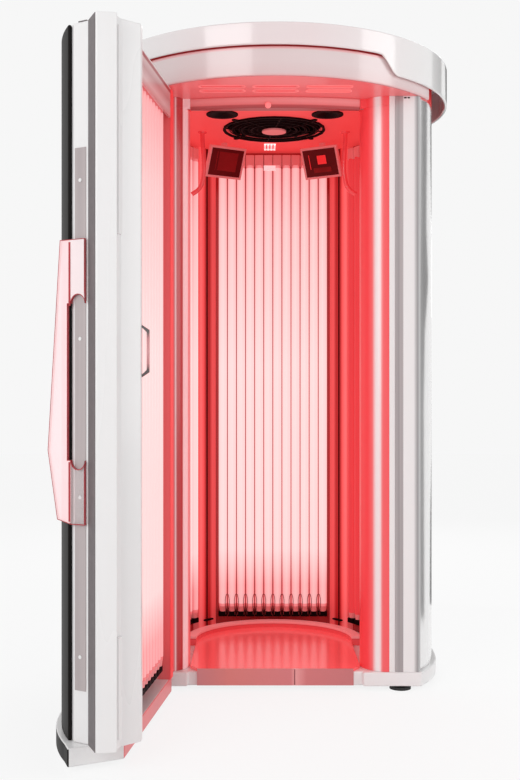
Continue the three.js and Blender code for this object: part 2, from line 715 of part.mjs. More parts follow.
const guardTop = CEILING_BOTTOM - SEAM;
const guardBottom = guardTop - GUARD_HEIGHT;
const guardStep = (GUARD_RADIUS - GUARD_HUB_RADIUS) / GUARD_RINGS;
const guardWires = span(1, GUARD_RINGS - 1, GUARD_RINGS - 2).map((i) => {
  const radius = GUARD_HUB_RADIUS + guardStep * i;
  return ring(radius + GUARD_WIRE, radius, guardBottom, guardTop, FAN_SIDES);
});
const spokeTurn = Math.PI / FAN_SIDES;
const guardSpokes = span(spokeTurn, Math.PI * 2 + spokeTurn, GUARD_SPOKES).slice(0, -1).map((angle) => {
  const half = GUARD_WIRE / 2;
  const reach = GUARD_RADIUS - GUARD_BAND / 2;
  const spoke = block(GUARD_HUB_RADIUS / 2, reach, -half, half, guardBottom + GUARD_RELIEF, guardTop - GUARD_RELIEF);
  return spoke.rotateZ(angle);
});
const guardTabs = span(0, Math.PI * 2, GUARD_TABS).slice(0, -1).map((angle) => {
  const half = GUARD_TAB_WIDTH / 2;
  const start = GUARD_RADIUS - GUARD_BAND / 2;
  const tab = block(start, GUARD_RADIUS + GUARD_TAB_LENGTH, -half, half, guardBottom + GUARD_RELIEF, guardTop);
  return tab.rotateZ(angle + Math.PI / GUARD_TABS);
});
add('fan_guard', join(
  ring(GUARD_RADIUS, GUARD_RADIUS - GUARD_BAND, guardBottom, guardTop, FAN_SIDES),
  rod(0, 0, GUARD_HUB_RADIUS, guardBottom, guardTop, FAN_SIDES),
  ...guardWires,
  ...guardSpokes,
  ...guardTabs,
), BLACK).position.set(0, FAN_Y, 0);
const capTop = guardBottom - SEAM;
add('fan_cap', rod(0, 0, CAP_RADIUS, capTop - CAP_HEIGHT, capTop, FAN_SIDES), PALE_ROSE)
  .position.set(0, FAN_Y, 0);

// Speakers, set into the ceiling from below

const flangeTop = CEILING_BOTTOM - SEAM;
const flangeBottom = flangeTop - SPEAKER_FLANGE;
const basketTop = CEILING_TOP + SPEAKER_BASKET_HEIGHT;
const speakerProfile = [
  [0, flangeBottom + SPEAKER_CONE_DEPTH],
  [SPEAKER_DUST_CAP_RADIUS, flangeBottom + SPEAKER_CONE_DEPTH],
  [SPEAKER_BASKET_RADIUS - SPEAKER_FLANGE, flangeBottom],
  [SPEAKER_RADIUS, flangeBottom],
  [SPEAKER_RADIUS, flangeTop],
  [SPEAKER_BASKET_RADIUS, flangeTop],
  [SPEAKER_BASKET_RADIUS, basketTop],
  [0, basketTop],
];
for (const [name, side] of [['right_speaker', 1], ['left_speaker', -1]]) {
  add(name, turned(speakerProfile, SPEAKER_SIDES), BLACK).position.set(side * SPEAKER_X, SPEAKER_Y, 0);
}

// Control panels, hung from the ceiling and turned towards the user

function panelPose(side) {
  const turn = new THREE.Matrix4().makeRotationZ(side * -rad(PANEL_YAW));
  turn.multiply(new THREE.Matrix4().makeRotationX(rad(PANEL_TILT)));
  return turn.setPosition(side * PANEL_X, PANEL_Y, CEILING_BOTTOM - PANEL_DROP);
}

const panelHalf = PANEL_WIDTH / 2;
const panelRise = PANEL_HEIGHT / 2;
const screenHalf = panelHalf - PANEL_FRAME;
const screenRise = panelRise - PANEL_FRAME;
const pocketY = SCREEN_POCKET;
for (const [name, side] of [['right', 1], ['left', -1]]) {
  const tray = cut(
    block(-panelHalf, panelHalf, 0, PANEL_THICKNESS, -panelRise, panelRise),
    block(-screenHalf, screenHalf, -pocketY, pocketY, -screenRise, screenRise),
  );
  const pose = panelPose(side);
  const armFoot = new THREE.Vector3(0, PANEL_THICKNESS + SCREEN_POCKET / 2, 0).applyMatrix4(pose);
  add(`${name}_panel_frame`, join(
    tray.applyMatrix4(pose),
    rod(armFoot.x, armFoot.y, PANEL_ARM_RADIUS, armFoot.z, LINING_TOP, PANEL_ARM_SIDES),
  ), PALE_ROSE);
  const glassHalf = screenHalf - SEAM;
  const glassRise = screenRise - SEAM;
  const glassBack = pocketY - SEAM;
  add(`${name}_panel_screen`, block(
    -glassHalf, glassHalf, glassBack - SCREEN_THICKNESS, glassBack, -glassRise, glassRise,
  ).applyMatrix4(pose), SCREEN_GLASS);
}

// Hand grips: bent bars below the ceiling

const gripBend = GRIP_BEND / 2;
const gripCircle = path(arc(GRIP_RADIUS, 0, Math.PI * 2, GRIP_SIDES).slice(0, -1));
for (const [name, side] of [['right_grip', 1], ['left_grip', -1]]) {
  const route = new THREE.CatmullRomCurve3([
    new THREE.Vector3(0, 0, LINING_TOP - SEAM),
    new THREE.Vector3(0, 0, LINING_TOP - GRIP_LENGTH / 2),
    new THREE.Vector3(0, 0, LINING_TOP - GRIP_LENGTH),
    new THREE.Vector3(side * gripBend / 2, 0, LINING_TOP - GRIP_LENGTH - gripBend),
    new THREE.Vector3(side * GRIP_BEND, 0, LINING_TOP - GRIP_LENGTH - GRIP_BEND),
  ]);
  const bar = new THREE.ExtrudeGeometry(new THREE.Shape(gripCircle), {
    steps: GRIP_STEPS, extrudePath: route, bevelEnabled: false,
  });
  const flange = rod(0, 0, GRIP_FLANGE_RADIUS, LINING_TOP - GRIP_FLANGE_HEIGHT, LINING_TOP, PANEL_ARM_SIDES);
  add(name, join(bar, flange), PALE_ROSE).position.set(side * GRIP_X, GRIP_Y, 0);
}

// Crown: slotted soffit, drum over the walls, fascia, roof and the halo round them

const haloInner = HALO_RADIUS - HALO_THICKNESS;
const drumAngles = [...wallAngles, ...frontAngles];
const wallReach = Math.max(...wallLine(0, drumAngles).map(([x, y]) => Math.hypot(x, y)));
const crownFit = (haloInner - DRUM_CORNER_GAP) / wallReach;

// The wall's plan, drawn in or out until its corners keep their gap to the halo
function crownLine(inset, angles = wallAngles) {
  return wallLine(inset, angles).map(([x, y]) => [x * crownFit, y * crownFit]);
}

const frontHalf = rad(FASCIA_HALF_ANGLE);
const soffitFront = arc(SOFFIT_RADIUS, -Math.PI / 2 - frontHalf, -Math.PI / 2 + frontHalf, FASCIA_STEPS);
const soffitRearAngles = wallAngles.filter((angle) => {
  const fromFront = Math.abs(angle - Math.PI / 2);
  return fromFront < Math.PI - frontHalf;
});
const soffitHole = crownLine(SOFFIT_HOLE_INSET).filter(([, y]) => y > HEADER_BACK_Y);
function slot(x, y) {
  const end = SLOT_LENGTH / 2 - SLOT_WIDTH / 2;
  const quarter = Math.PI / 2;
  return [
    ...arc(SLOT_WIDTH / 2, -quarter, quarter, SLOT_END_STEPS, x + end, y),
    ...arc(SLOT_WIDTH / 2, quarter, quarter * 3, SLOT_END_STEPS, x - end, y),
  ];
}
const slotRowY = SLOT_ROW_SETBACK - SOFFIT_RADIUS;
const slots = [-1, 0, 1].flatMap((i) => [
  slot(i * SLOT_PITCH_X, slotRowY + SLOT_ROW_PITCH),
  slot(i * SLOT_PITCH_X, slotRowY),
]);
add('crown_soffit', prism([
  ...crownLine(0, soffitRearAngles),
  ...soffitFront,
], SOFFIT_BOTTOM, SOFFIT_TOP, [soffitHole, ...slots]), WHITE);

add('crown_drum', prism(
  crownLine(0, drumAngles), SOFFIT_TOP + SEAM, ROOF_BOTTOM - SEAM, [crownLine(WALL_THICKNESS, drumAngles)],
), WHITE);

const haloFrontBottom = WALL_TOP + HALO_FRONT_LIFT;
add('crown_fascia', prism([
  ...arc(FASCIA_RADIUS, -Math.PI / 2 - frontHalf, -Math.PI / 2 + frontHalf, FASCIA_STEPS),
  ...arc(FASCIA_RADIUS - FASCIA_THICKNESS, -Math.PI / 2 + frontHalf, -Math.PI / 2 - frontHalf, FASCIA_STEPS),
], SOFFIT_BOTTOM, haloFrontBottom - FASCIA_SHADOW_GAP), WHITE);

add('roof_panel', rod(0, 0, haloInner - SEAM, ROOF_BOTTOM, ROOF_TOP, HALO_STEPS), WHITE);

const haloSideBottom = WALL_TOP + HALO_SIDE_LIFT;
const notchShape = new THREE.Shape(path([
  [-HALO_NOTCH_BOTTOM_HALF - HALO_NOTCH_HINGE_EXTRA, haloSideBottom - HALO_THICKNESS],
  [HALO_NOTCH_BOTTOM_HALF, haloSideBottom - HALO_THICKNESS],
  [HALO_NOTCH_TOP_HALF, haloFrontBottom],
  [-HALO_NOTCH_TOP_HALF - HALO_NOTCH_HINGE_EXTRA, haloFrontBottom],
]));
const notch = new THREE.ExtrudeGeometry(notchShape, { depth: HALO_RADIUS * 2, bevelEnabled: false });
notch.rotateX(Math.PI / 2);
add('crown_halo', cut(
  ring(HALO_RADIUS, haloInner, haloSideBottom, CROWN_TOP, HALO_STEPS),
  notch,
), WHITE);

// Cable gland, low on the rear wall

add('cable_gland', turned([
  [0, 0],
  [GLAND_RADIUS, 0],
  [GLAND_RADIUS, GLAND_LENGTH],
  [GLAND_BORE_RADIUS, GLAND_LENGTH],
  [GLAND_BORE_RADIUS, GLAND_LENGTH - GLAND_BORE_DEPTH],
  [0, GLAND_LENGTH - GLAND_BORE_DEPTH],
], GLAND_SIDES).rotateX(-Math.PI / 2), RUBBER).position.set(0, WALL_HALF_DEPTH + SEAM, PLINTH_TOP + GLAND_HEIGHT);

// Door hinge brackets, fixed to the cabin: a plate with a pin up or down into the door

const bracketFrontY = HINGE_Y - BRACKET_REACH;
const upperBackY = POST_FRONT_Y - SEAM;
const upperPlateBottom = WALL_TOP - BRACKET_THICKNESS;
add('hinge_bracket_upper', join(
  block(
    HINGE_X - BRACKET_HALF_WIDTH, HINGE_X + BRACKET_HALF_WIDTH, bracketFrontY, upperBackY,
    upperPlateBottom, WALL_TOP,
  ),
  rod(HINGE_X, HINGE_Y, PIN_RADIUS, DOOR_TOP - PIN_DEPTH, WALL_TOP - SEAM, PIN_SIDES),
), CHROME);
const lowerPlateTop = FOOT_HEIGHT - SEAM;
const lowerBackY = PLINTH_FRONT_Y + LOWER_BRACKET_OVERLAP;
add('hinge_bracket_lower', join(
  block(
    HINGE_X - BRACKET_HALF_WIDTH, HINGE_X + BRACKET_HALF_WIDTH, bracketFrontY, lowerBackY,
    lowerPlateTop - BRACKET_THICKNESS, lowerPlateTop,
  ),
  rod(HINGE_X, HINGE_Y, PIN_RADIUS, lowerPlateTop - SEAM, DOOR_BASE + PIN_DEPTH, PIN_SIDES),
), CHROME);

// Door, drawn shut in the cabin's plan, then moved to its hinge line and swung open

const door = new THREE.Group();
door.position.set(HINGE_X, HINGE_Y, 0);
door.rotation.z = -rad(DOOR_OPEN_ANGLE);
booth.add(door);

function shut(points) {
  return points.map(([x, y]) => [x - HINGE_X, y - HINGE_Y]);
}

function addDoor(name, geometry, material) {
  return add(name, geometry, material, door);
}

function edge({ x, y }) {
  return [COLUMN_X + x, COLUMN_Y + y];
}

const edgeCorner = edge(EDGE_CORNER);
const edgeFold = edge(EDGE_FOLD);
const edgeTip = edge(EDGE_TIP);
const edgeStop = edge(EDGE_STOP);
const edgeSeal = polar(COLUMN_RADIUS + EDGE_SEAL_GAP, rad(EDGE_SEAL_ANGLE), COLUMN_X, COLUMN_Y);
const edgeNose = polar(COLUMN_RADIUS + EDGE_NOSE_GAP, rad(EDGE_NOSE_ANGLE), COLUMN_X, COLUMN_Y);
const notchOuter = edge(EDGE_NOTCH_OUTER);
const notchInner = edge(EDGE_NOTCH_INNER);
const stileX = edgeNose[0] - LATCH_STILE_WALL;
const skinInner = DOOR_SKIN_RADIUS - DOOR_SKIN_THICKNESS;

// The skin's centre line lies where its inner face meets the outer corner of the free edge
const skinCentreY = edgeCorner[1] + Math.sqrt(skinInner ** 2 - edgeCorner[0] ** 2);
const cornerAngle = Math.atan2(edgeCorner[1] - skinCentreY, edgeCorner[0]);

function skinY(x, radius) {
  return skinCentreY - Math.sqrt(radius ** 2 - x ** 2);
}

function skinAngle(x, radius) {
  return Math.atan2(skinY(x, radius) - skinCentreY, x);
}

function skinArc(radius, from, to) {
  return arc(radius, from, to, DOOR_SKIN_STEPS, 0, skinCentreY);
}

// The skin is faceted, so what seats inside it clears the middle of a facet
const hingeEdgeX = HINGE_X - DOOR_HINGE_EDGE;
const skinFrom = skinAngle(hingeEdgeX, DOOR_SKIN_RADIUS);
const skinTo = cornerAngle - rad(DOOR_SKIN_EDGE_SETBACK);
const skinSeat = skinInner * Math.cos((skinTo - skinFrom) / DOOR_SKIN_STEPS / 2) - SEAM;

addDoor('door_latch_stile', prism(shut([
  [stileX, edgeNose[1]],
  edgeNose,
  edgeSeal,
  notchInner,
  notchOuter,
  edgeStop,
  edgeTip,
  edgeFold,
  polar(skinSeat, cornerAngle, 0, skinCentreY),
  [stileX, skinY(stileX, skinSeat)],
]), DOOR_BASE, DOOR_TOP), WHITE);

// Strips in the notch of the free edge, above and below its recessed middle
const notchRun = new THREE.Vector2(notchInner[0] - notchOuter[0], notchInner[1] - notchOuter[1]).normalize();
const stripTrim = notchRun.clone().multiplyScalar(EDGE_STRIP_MARGIN);
const stripNose = polar(
  COLUMN_RADIUS + EDGE_STRIP_NOSE, Math.atan2(EDGE_NOTCH_OUTER.y, EDGE_NOTCH_INNER.x / 2), COLUMN_X, COLUMN_Y,
);
const stripPlan = [
  [notchOuter[0] + stripTrim.x, edgeStop[1]],
  [notchOuter[0] + stripTrim.x, notchOuter[1] + stripTrim.y + SEAM],
  [notchInner[0] - stripTrim.x, notchInner[1] - stripTrim.y + SEAM],
  stripNose,
];
addDoor('door_edge_strip_upper', prism(
  shut(stripPlan), EDGE_STRIP_UPPER_BOTTOM, DOOR_TOP - EDGE_STRIP_END,
), WHITE);
addDoor('door_edge_strip_lower', prism(
  shut(stripPlan), DOOR_BASE + EDGE_STRIP_END, EDGE_STRIP_LOWER_TOP,
), WHITE);

// Hinge stile with a bore at each end for the pins
const hingeStileX = HINGE_X + HINGE_STILE_WIDTH;
const innerFaceY = HINGE_Y + DOOR_INNER_DEPTH;
const boreRadius = PIN_RADIUS + PIN_CLEARANCE;
addDoor('door_hinge_stile', cut(
  prism(shut([
    [hingeEdgeX, skinY(hingeEdgeX, skinSeat)],
    [hingeStileX, skinY(hingeStileX, skinSeat)],
    [hingeStileX, innerFaceY],
    [HINGE_X + HINGE_STILE_NOSE, innerFaceY],
    [hingeEdgeX, HINGE_Y + HINGE_STILE_HEEL],
  ]), DOOR_BASE, DOOR_TOP),
  rod(0, 0, boreRadius, DOOR_TOP - PIN_DEPTH - SEAM, WALL_TOP, PIN_SIDES),
  rod(0, 0, boreRadius, FOOT_HEIGHT, DOOR_BASE + PIN_DEPTH + SEAM, PIN_SIDES),
), WHITE);

// Curved outer skin
addDoor('door_skin', prism(shut([
  ...skinArc(DOOR_SKIN_RADIUS, skinFrom, skinTo),
  ...skinArc(skinInner, skinTo, skinFrom),
]), DOOR_BASE, DOOR_TOP), DARK_SKIN);

// Plinth under the door, flared past the skin and the tip of the free edge
const plinthInnerY = PLINTH_FRONT_Y - DOOR_SWEEP_GAP * 2;
const doorPlinthRadius = DOOR_SKIN_RADIUS + PLINTH_FLARE;
const doorPlinthFrom = skinAngle(hingeEdgeX, doorPlinthRadius);
addDoor('door_plinth', cut(
  prism(shut([
    [hingeEdgeX, HINGE_Y + HINGE_STILE_HEEL],
    ...skinArc(doorPlinthRadius, doorPlinthFrom, cornerAngle),
    [edgeFold[0] + DOOR_PLINTH_EDGE, edgeFold[1]],
    [edgeTip[0] + DOOR_PLINTH_EDGE, edgeTip[1]],
    [edgeStop[0] + DOOR_PLINTH_EDGE, plinthInnerY],
    [HINGE_X + HINGE_STILE_NOSE, plinthInnerY],
  ]), FOOT_HEIGHT, DOOR_BASE - SEAM),
  rod(0, 0, boreRadius, 0, DOOR_BASE, PIN_SIDES),
), WHITE);

// Lid between the stiles, with an apron that covers the upper sockets
const bayFrom = hingeStileX + SEAM;
const bayTo = stileX - SEAM;
const lidFrom = skinAngle(bayFrom, skinSeat);
const lidTo = skinAngle(bayTo, skinSeat);
const lidBottom = DOOR_TOP - DOOR_LID_THICKNESS;
addDoor('door_top_cap', join(
  prism(shut([
    ...skinArc(skinSeat - SEAM, lidFrom, lidTo).map(([x, y]) => [
      Math.min(Math.max(x, bayFrom), bayTo), y,
    ]),
    [bayTo, innerFaceY],
    [bayFrom, innerFaceY],
  ]), lidBottom, DOOR_TOP),
  prism(shut([
    [bayFrom, innerFaceY - DOOR_APRON_THICKNESS],
    [bayTo, innerFaceY - DOOR_APRON_THICKNESS],
    [bayTo, innerFaceY],
    [bayFrom, innerFaceY],
  ]), DOOR_TOP - DOOR_APRON_HEIGHT, DOOR_TOP - SEAM),
), WHITE);

// Reflector and lamps on the inside of the door
const doorReflectorY = innerFaceY - DOOR_REFLECTOR_DEPTH;
const doorRailBack = doorReflectorY + REFLECTOR_THICKNESS + SEAM;
const doorRailFront = doorRailBack + RAIL_DEPTH;
const doorLampY = doorRailBack + DOOR_TUBE_GAP + TUBE_RADIUS;
const bayMiddle = (bayFrom + bayTo) / 2;
addDoor('door_reflector', prism(shut([
  [bayFrom, doorReflectorY],
  [bayTo, doorReflectorY],
  [bayTo, doorReflectorY + REFLECTOR_THICKNESS],
  [bayFrom, doorReflectorY + REFLECTOR_THICKNESS],
]), DOOR_BASE, lidBottom - SEAM), MIRROR_SHEET);
const doorPlaces = span(-0.5, 0.5, DOOR_LAMPS - 1).map((t) => [
  bayMiddle + t * DOOR_PITCH * (DOOR_LAMPS - 1), doorLampY,
]);
addDoor('door_lamp_bank', lampBank(shut([
  [bayFrom + RAIL_END_MARGIN, doorRailBack],
  [bayTo - RAIL_END_MARGIN, doorRailBack],
  [bayTo - RAIL_END_MARGIN, doorRailFront],
  [bayFrom + RAIL_END_MARGIN, doorRailFront],
]), shut(doorPlaces), RAIL_LOW, RAIL_HIGH), LAMP);

// The outer face of the free edge carries the cover strip and the outer handle.
// Both are laid out on that face: in from its outer corner, up, and out of the face.
const faceIn = new THREE.Vector3(edgeFold[0] - edgeCorner[0], edgeFold[1] - edgeCorner[1], 0);
const faceLength = faceIn.length();
faceIn.normalize();
const faceUp = new THREE.Vector3(0, 0, 1);
const faceFrame = new THREE.Matrix4().makeBasis(faceIn, faceUp, faceIn.clone().cross(faceUp));
faceFrame.setPosition(edgeCorner[0] - HINGE_X, edgeCorner[1] - HINGE_Y, 0);

const coverWidth = faceLength - COVER_MARGIN * 2;
const coverMiddle = faceLength / 2;
const screws = COVER_SCREW_HEIGHTS.map((z) => rod(
  coverMiddle, z, COVER_SCREW_RADIUS, 0, COVER_THICKNESS + COVER_SCREW_HEIGHT, COVER_SCREW_SIDES,
));
const cover = join(
  block(coverMiddle - coverWidth / 2, coverMiddle + coverWidth / 2, COVER_BOTTOM, COVER_TOP, 0, COVER_THICKNESS),
  ...screws,
).translate(0, 0, SEAM).applyMatrix4(faceFrame);
addDoor('door_cover_strip', cover, GREY_METAL);

const padEnd = HANDLE_PAD_WIDTH;
const upperPad = HANDLE_TOP - HANDLE_PAD_HEIGHT;
const lowerPad = HANDLE_BOTTOM + HANDLE_PAD_HEIGHT;
const handlePlan = [
  [padEnd, HANDLE_TOP],
  [padEnd, upperPad],
  [padEnd / 2, upperPad + HANDLE_HOLLOW],
  [-HANDLE_INNER_EDGE, upperPad],
  [-HANDLE_INNER_EDGE, lowerPad],
  [padEnd / 2, lowerPad - HANDLE_HOLLOW],
  [padEnd, lowerPad],
  [padEnd, HANDLE_BOTTOM],
  [0, HANDLE_BOTTOM],
  [-HANDLE_BOTTOM_WIDTH, HANDLE_BOTTOM + HANDLE_INNER_EDGE],
  [-HANDLE_BELLY, HANDLE_BELLY_Z],
  [-HANDLE_TOP_WIDTH, HANDLE_TOP],
];
const handleLift = COVER_THICKNESS + COVER_SCREW_HEIGHT + SEAM * 2;
addDoor('door_outer_handle', prism(handlePlan, handleLift, handleLift + HANDLE_THICKNESS)
  .applyMatrix4(faceFrame), ACRYLIC);

// Inner pull: a small bridge on the inner face of the latch stile
const pullBase = edgeNose[1] + SEAM - HINGE_Y;
const pullTop = PULL_BOTTOM + PULL_HEIGHT;
const pullPlan = [
  [0, PULL_BOTTOM],
  [PULL_DEPTH, PULL_BOTTOM + PULL_TAPER],
  [PULL_DEPTH, pullTop - PULL_TAPER],
  [0, pullTop],
  [0, pullTop - PULL_BAR],
  [PULL_DEPTH - PULL_BAR, pullTop - PULL_TAPER - PULL_BAR],
  [PULL_DEPTH - PULL_BAR, PULL_BOTTOM + PULL_TAPER + PULL_BAR],
  [0, PULL_BOTTOM + PULL_BAR],
];
const pullFrame = new THREE.Matrix4().makeBasis(
  new THREE.Vector3(0, 1, 0),
  new THREE.Vector3(0, 0, 1),
  new THREE.Vector3(1, 0, 0),
);
pullFrame.setPosition(stileX + PULL_EDGE_GAP - HINGE_X, pullBase, 0);
addDoor('door_inner_pull', prism(pullPlan, 0, PULL_WIDTH).applyMatrix4(pullFrame), BLACK);

export default booth;
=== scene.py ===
# %% [markdown]
# # A vertical tanning booth
# This lesson dresses the bare solids of a stand-up tanning booth. The cabin is a round
# shell of white panels, lined with lamp tubes, and a curved door hangs on its left post.
# The solids already have the right size and place, so every step here either gives a
# solid its finish or puts a smoother piece in the same space.

# %% Load the solids
import math
import bpy
import bmesh
from mathutils import Matrix, Vector


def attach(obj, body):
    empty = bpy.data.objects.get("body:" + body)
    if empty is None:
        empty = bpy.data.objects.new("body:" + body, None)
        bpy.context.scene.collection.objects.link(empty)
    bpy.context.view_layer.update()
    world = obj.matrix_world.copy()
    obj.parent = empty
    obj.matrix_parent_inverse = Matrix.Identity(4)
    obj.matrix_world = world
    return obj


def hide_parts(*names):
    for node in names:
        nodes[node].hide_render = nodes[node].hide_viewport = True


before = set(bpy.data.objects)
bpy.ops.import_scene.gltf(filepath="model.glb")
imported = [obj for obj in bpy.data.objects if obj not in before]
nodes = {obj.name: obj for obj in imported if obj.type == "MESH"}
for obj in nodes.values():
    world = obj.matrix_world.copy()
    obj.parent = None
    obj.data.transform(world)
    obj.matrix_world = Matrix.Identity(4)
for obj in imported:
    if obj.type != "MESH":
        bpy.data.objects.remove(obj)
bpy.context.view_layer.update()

# %% [markdown]
# ## The camera
# The photograph looks straight in through the doorway from a little above waist height.
# A level camera keeps the posts upright. The sensor is fitted to the tall side of the
# picture, so a 50 mm lens gives the same view whatever the picture's width.

# %% Camera
eye = bpy.data.cameras.new("eye")
eye.sensor_fit = "VERTICAL"
eye.sensor_height = 36.0
eye.lens = 50.0
camera = bpy.data.objects.new("camera", eye)
camera.location = (-0.055, -4.291, 1.078)  # metres, fitted to the photograph
camera.rotation_euler = (math.radians(90), 0, 0)
bpy.context.scene.collection.objects.link(camera)
bpy.context.scene.camera = camera
print("camera at", tuple(camera.location))

# %% [markdown]
# ## Finishes
# A moulded panel is never one flat colour: its lacquer drifts a little from place to
# place, and its gloss does too. One noise, read in the piece's own coordinates, drives
# colour, roughness and a faint bump together, so they agree. Values that are the same
# all over are set on the shader itself.

# %% Helpers for shader nodes
def fill(made, values):
    for socket, value in values.items():
        made.inputs[socket].default_value = value


def node(tree, kind, values={}, **settings):
    made = tree.nodes.new("ShaderNode" + kind)
    for setting, value in settings.items():
        setattr(made, setting, value)
    fill(made, values)
    return made


def wire(tree, *pairs):
    for start, end in pairs:
        tree.links.new(start, end)


def banded(tree, stops):
    ramp = node(tree, "ValToRGB")
    while len(ramp.color_ramp.elements) < len(stops):
        ramp.color_ramp.elements.new(0.5)
    for stop, (position, *colour) in zip(ramp.color_ramp.elements, stops):
        stop.position = position
        stop.color = (*colour, 1)
    return ramp


def blank(name):
    material = bpy.data.materials.new(name)
    material.use_nodes = True
    return material, material.node_tree, material.node_tree.nodes["Principled BSDF"]


print("node helpers ready")

# %% A helper for moulded and metal finishes
def surface(name, light, dark, grain, stretch=(1, 1, 1), rough=(0.3, 0.4), metal=0.0,
            coat=0.0, bump=0.0, shine=0.5, glow=None, glow_level=0.0):
    material, tree, shader = blank(name)
    place = node(tree, "TexCoord")
    fit = node(tree, "Mapping", {"Scale": stretch})
    noise = node(tree, "TexNoise", {"Scale": grain, "Detail": 4.0})
    tint = banded(tree, ((0.3, *dark), (0.7, *light)))
    gloss = node(tree, "MapRange", {"To Min": rough[0], "To Max": rough[1]})
    wire(tree, (place.outputs["Object"], fit.inputs["Vector"]),
         (fit.outputs["Vector"], noise.inputs["Vector"]),
         (noise.outputs["Fac"], tint.inputs["Fac"]),
         (tint.outputs["Color"], shader.inputs["Base Color"]),
         (noise.outputs["Fac"], gloss.inputs["Value"]),
         (gloss.outputs["Result"], shader.inputs["Roughness"]))
    if bump:
        relief = node(tree, "Bump", {"Strength": bump, "Distance": 0.001})
        wire(tree, (noise.outputs["Fac"], relief.inputs["Height"]),
             (relief.outputs["Normal"], shader.inputs["Normal"]))
    fill(shader, {"Metallic": metal, "Specular IOR Level": shine, "Coat Weight": coat,
                  "Coat Roughness": 0.08})
    if glow:
        fill(shader, {"Emission Color": (*glow, 1), "Emission Strength": glow_level})
    return material


print("finish helper ready")

# %% [markdown]
# Light from the lamps reddens a white panel more on one side than on the other. A ramp
# of colours laid along one direction of the piece shows that. Each stop of a ramp is its
# place from 0 to 1, then red, green and blue.

# %% A helper for colours that run across a piece
def running(name, way, start, end, stops, glow_level=0.0, both_sides=False, **look):
    material = surface(name, stops[0][1:], stops[-1][1:], 2.0, **look)
    tree = material.node_tree
    shader = tree.nodes["Principled BSDF"]
    place = node(tree, "TexCoord")
    reach = node(tree, "VectorMath", {1: way}, operation="DOT_PRODUCT")
    value = reach.outputs["Value"]
    if both_sides:
        size = node(tree, "Math", operation="ABSOLUTE")
        wire(tree, (value, size.inputs[0]))
        value = size.outputs["Value"]
    across = node(tree, "MapRange", {"From Min": start, "From Max": end})
    ramp = banded(tree, stops)
    wire(tree, (place.outputs["Object"], reach.inputs[0]), (value, across.inputs["Value"]),
         (across.outputs["Result"], ramp.inputs["Fac"]),
         (ramp.outputs["Color"], shader.inputs["Base Color"]))
    if glow_level:
        wire(tree, (ramp.outputs["Color"], shader.inputs["Emission Color"]))
        fill(shader, {"Emission Strength": glow_level})
    return material


print("running finish helper ready")

# %% [markdown]
# The shell is white lacquer, the lining is the same white under red light, and the
# metal, rubber and glass of the fittings come after them.

# %% The booth's finishes
white = surface("white_lacquer", (0.85, 0.838, 0.838), (0.84, 0.828, 0.829), 2.0, stretch=(1, 1, 0.15),
                rough=(0.25, 0.31), coat=0.15)
# The wall lacquer's faint long vertical streaks are painted reflection.
outer_white = surface("wall_lacquer_painted_reflection_streaks", (0.87, 0.86, 0.862), (0.83, 0.82, 0.822), 1.0,
                      stretch=(9, 9, 0.10), rough=(0.15, 0.21), metal=0.6, coat=0.15)
dark = surface("black_door_lacquer", (0.012, 0.010, 0.010), (0.005, 0.004, 0.004), 2.0,
               stretch=(1, 1, 0.3), rough=(0.4, 0.55), shine=0.08)
groove_grey = surface("grey_edge_rubber", (0.175, 0.150, 0.155), (0.13, 0.11, 0.115), 60.0,
                      rough=(0.45, 0.6), bump=0.1)
plate_grey = surface("brushed_plate", (0.52, 0.455, 0.455), (0.42, 0.365, 0.37), 40.0,
                     stretch=(1, 1, 0.02), rough=(0.35, 0.5), metal=0.2)
strip_metal = surface("satin_aluminium", (0.54, 0.48, 0.485), (0.36, 0.32, 0.325), 60.0,
                      stretch=(1, 1, 0.005), rough=(0.3, 0.45), metal=0.6)
chrome = surface("polished_metal", (0.80, 0.74, 0.75), (0.62, 0.57, 0.58), 14.0, rough=(0.08, 0.16),
                 metal=1.0)
# The lining, ceiling, reflectors and cabin floor carry the lamps' red light as painted colour and glow.
red = surface("red_lit_lining", (0.84, 0.072, 0.078), (0.76, 0.045, 0.05), 2.0, rough=(0.4, 0.5),
              shine=0.3, glow=(0.84, 0.060, 0.064), glow_level=0.32)
ceiling_red = surface("red_lit_ceiling", (0.80, 0.092, 0.094), (0.72, 0.058, 0.060), 2.5, rough=(0.45, 0.55),
                      shine=0.25, glow=(0.82, 0.085, 0.087), glow_level=0.34)
sheet = surface("red_lit_reflector", (0.62, 0.085, 0.09), (0.45, 0.045, 0.05), 3.0, stretch=(6, 6, 0.2),
                rough=(0.2, 0.3), metal=0.3)
floor_red = surface("acrylic_floor_painted_red_light", (0.83, 0.115, 0.12), (0.79, 0.092, 0.098), 4.0, rough=(0.14, 0.22),
                    coat=0.25, glow=(0.86, 0.12, 0.125), glow_level=0.26)
# The kick plate's rose colour and glow are painted red light, darker towards the right as painted shade, with
# a painted highlight along its joint.
kick_painted_light = running("kick_panel_painted_red_light", (1, 0, 0), -0.281, 0.281,
               ((0.0, 0.60, 0.25, 0.26), (0.2, 0.70, 0.235, 0.22), (0.60, 0.62, 0.20, 0.21),
                (0.625, 0.78, 0.36, 0.36), (0.70, 0.60, 0.185, 0.19), (1.0, 0.52, 0.165, 0.17)), 0.10,
               rough=(0.3, 0.45))
# The rose tint and glow of these plastic parts are painted red light.
pale = surface("plastic_painted_red_light_and_glow", (0.84, 0.33, 0.335), (0.74, 0.22, 0.23), 5.0, rough=(0.4, 0.5), shine=0.3,
               glow=(0.86, 0.26, 0.26), glow_level=0.14)
# The crown's pink across its middle is painted red light, and the grey at its right end is painted shade.
crown_white = running("crown_lacquer_painted_light_and_shade", (1, 0, 0), -0.55, 0.66,
                      ((0.0, 0.85, 0.83, 0.83), (0.25, 0.84, 0.76, 0.765), (0.55, 0.84, 0.72, 0.725),
                       (0.80, 0.85, 0.80, 0.80), (0.92, 0.85, 0.84, 0.835), (1.0, 0.80, 0.79, 0.785)),
                      rough=(0.12, 0.18), coat=0.6)
FASCIA_LOW, FASCIA_TOP = 2.1333, 2.2325
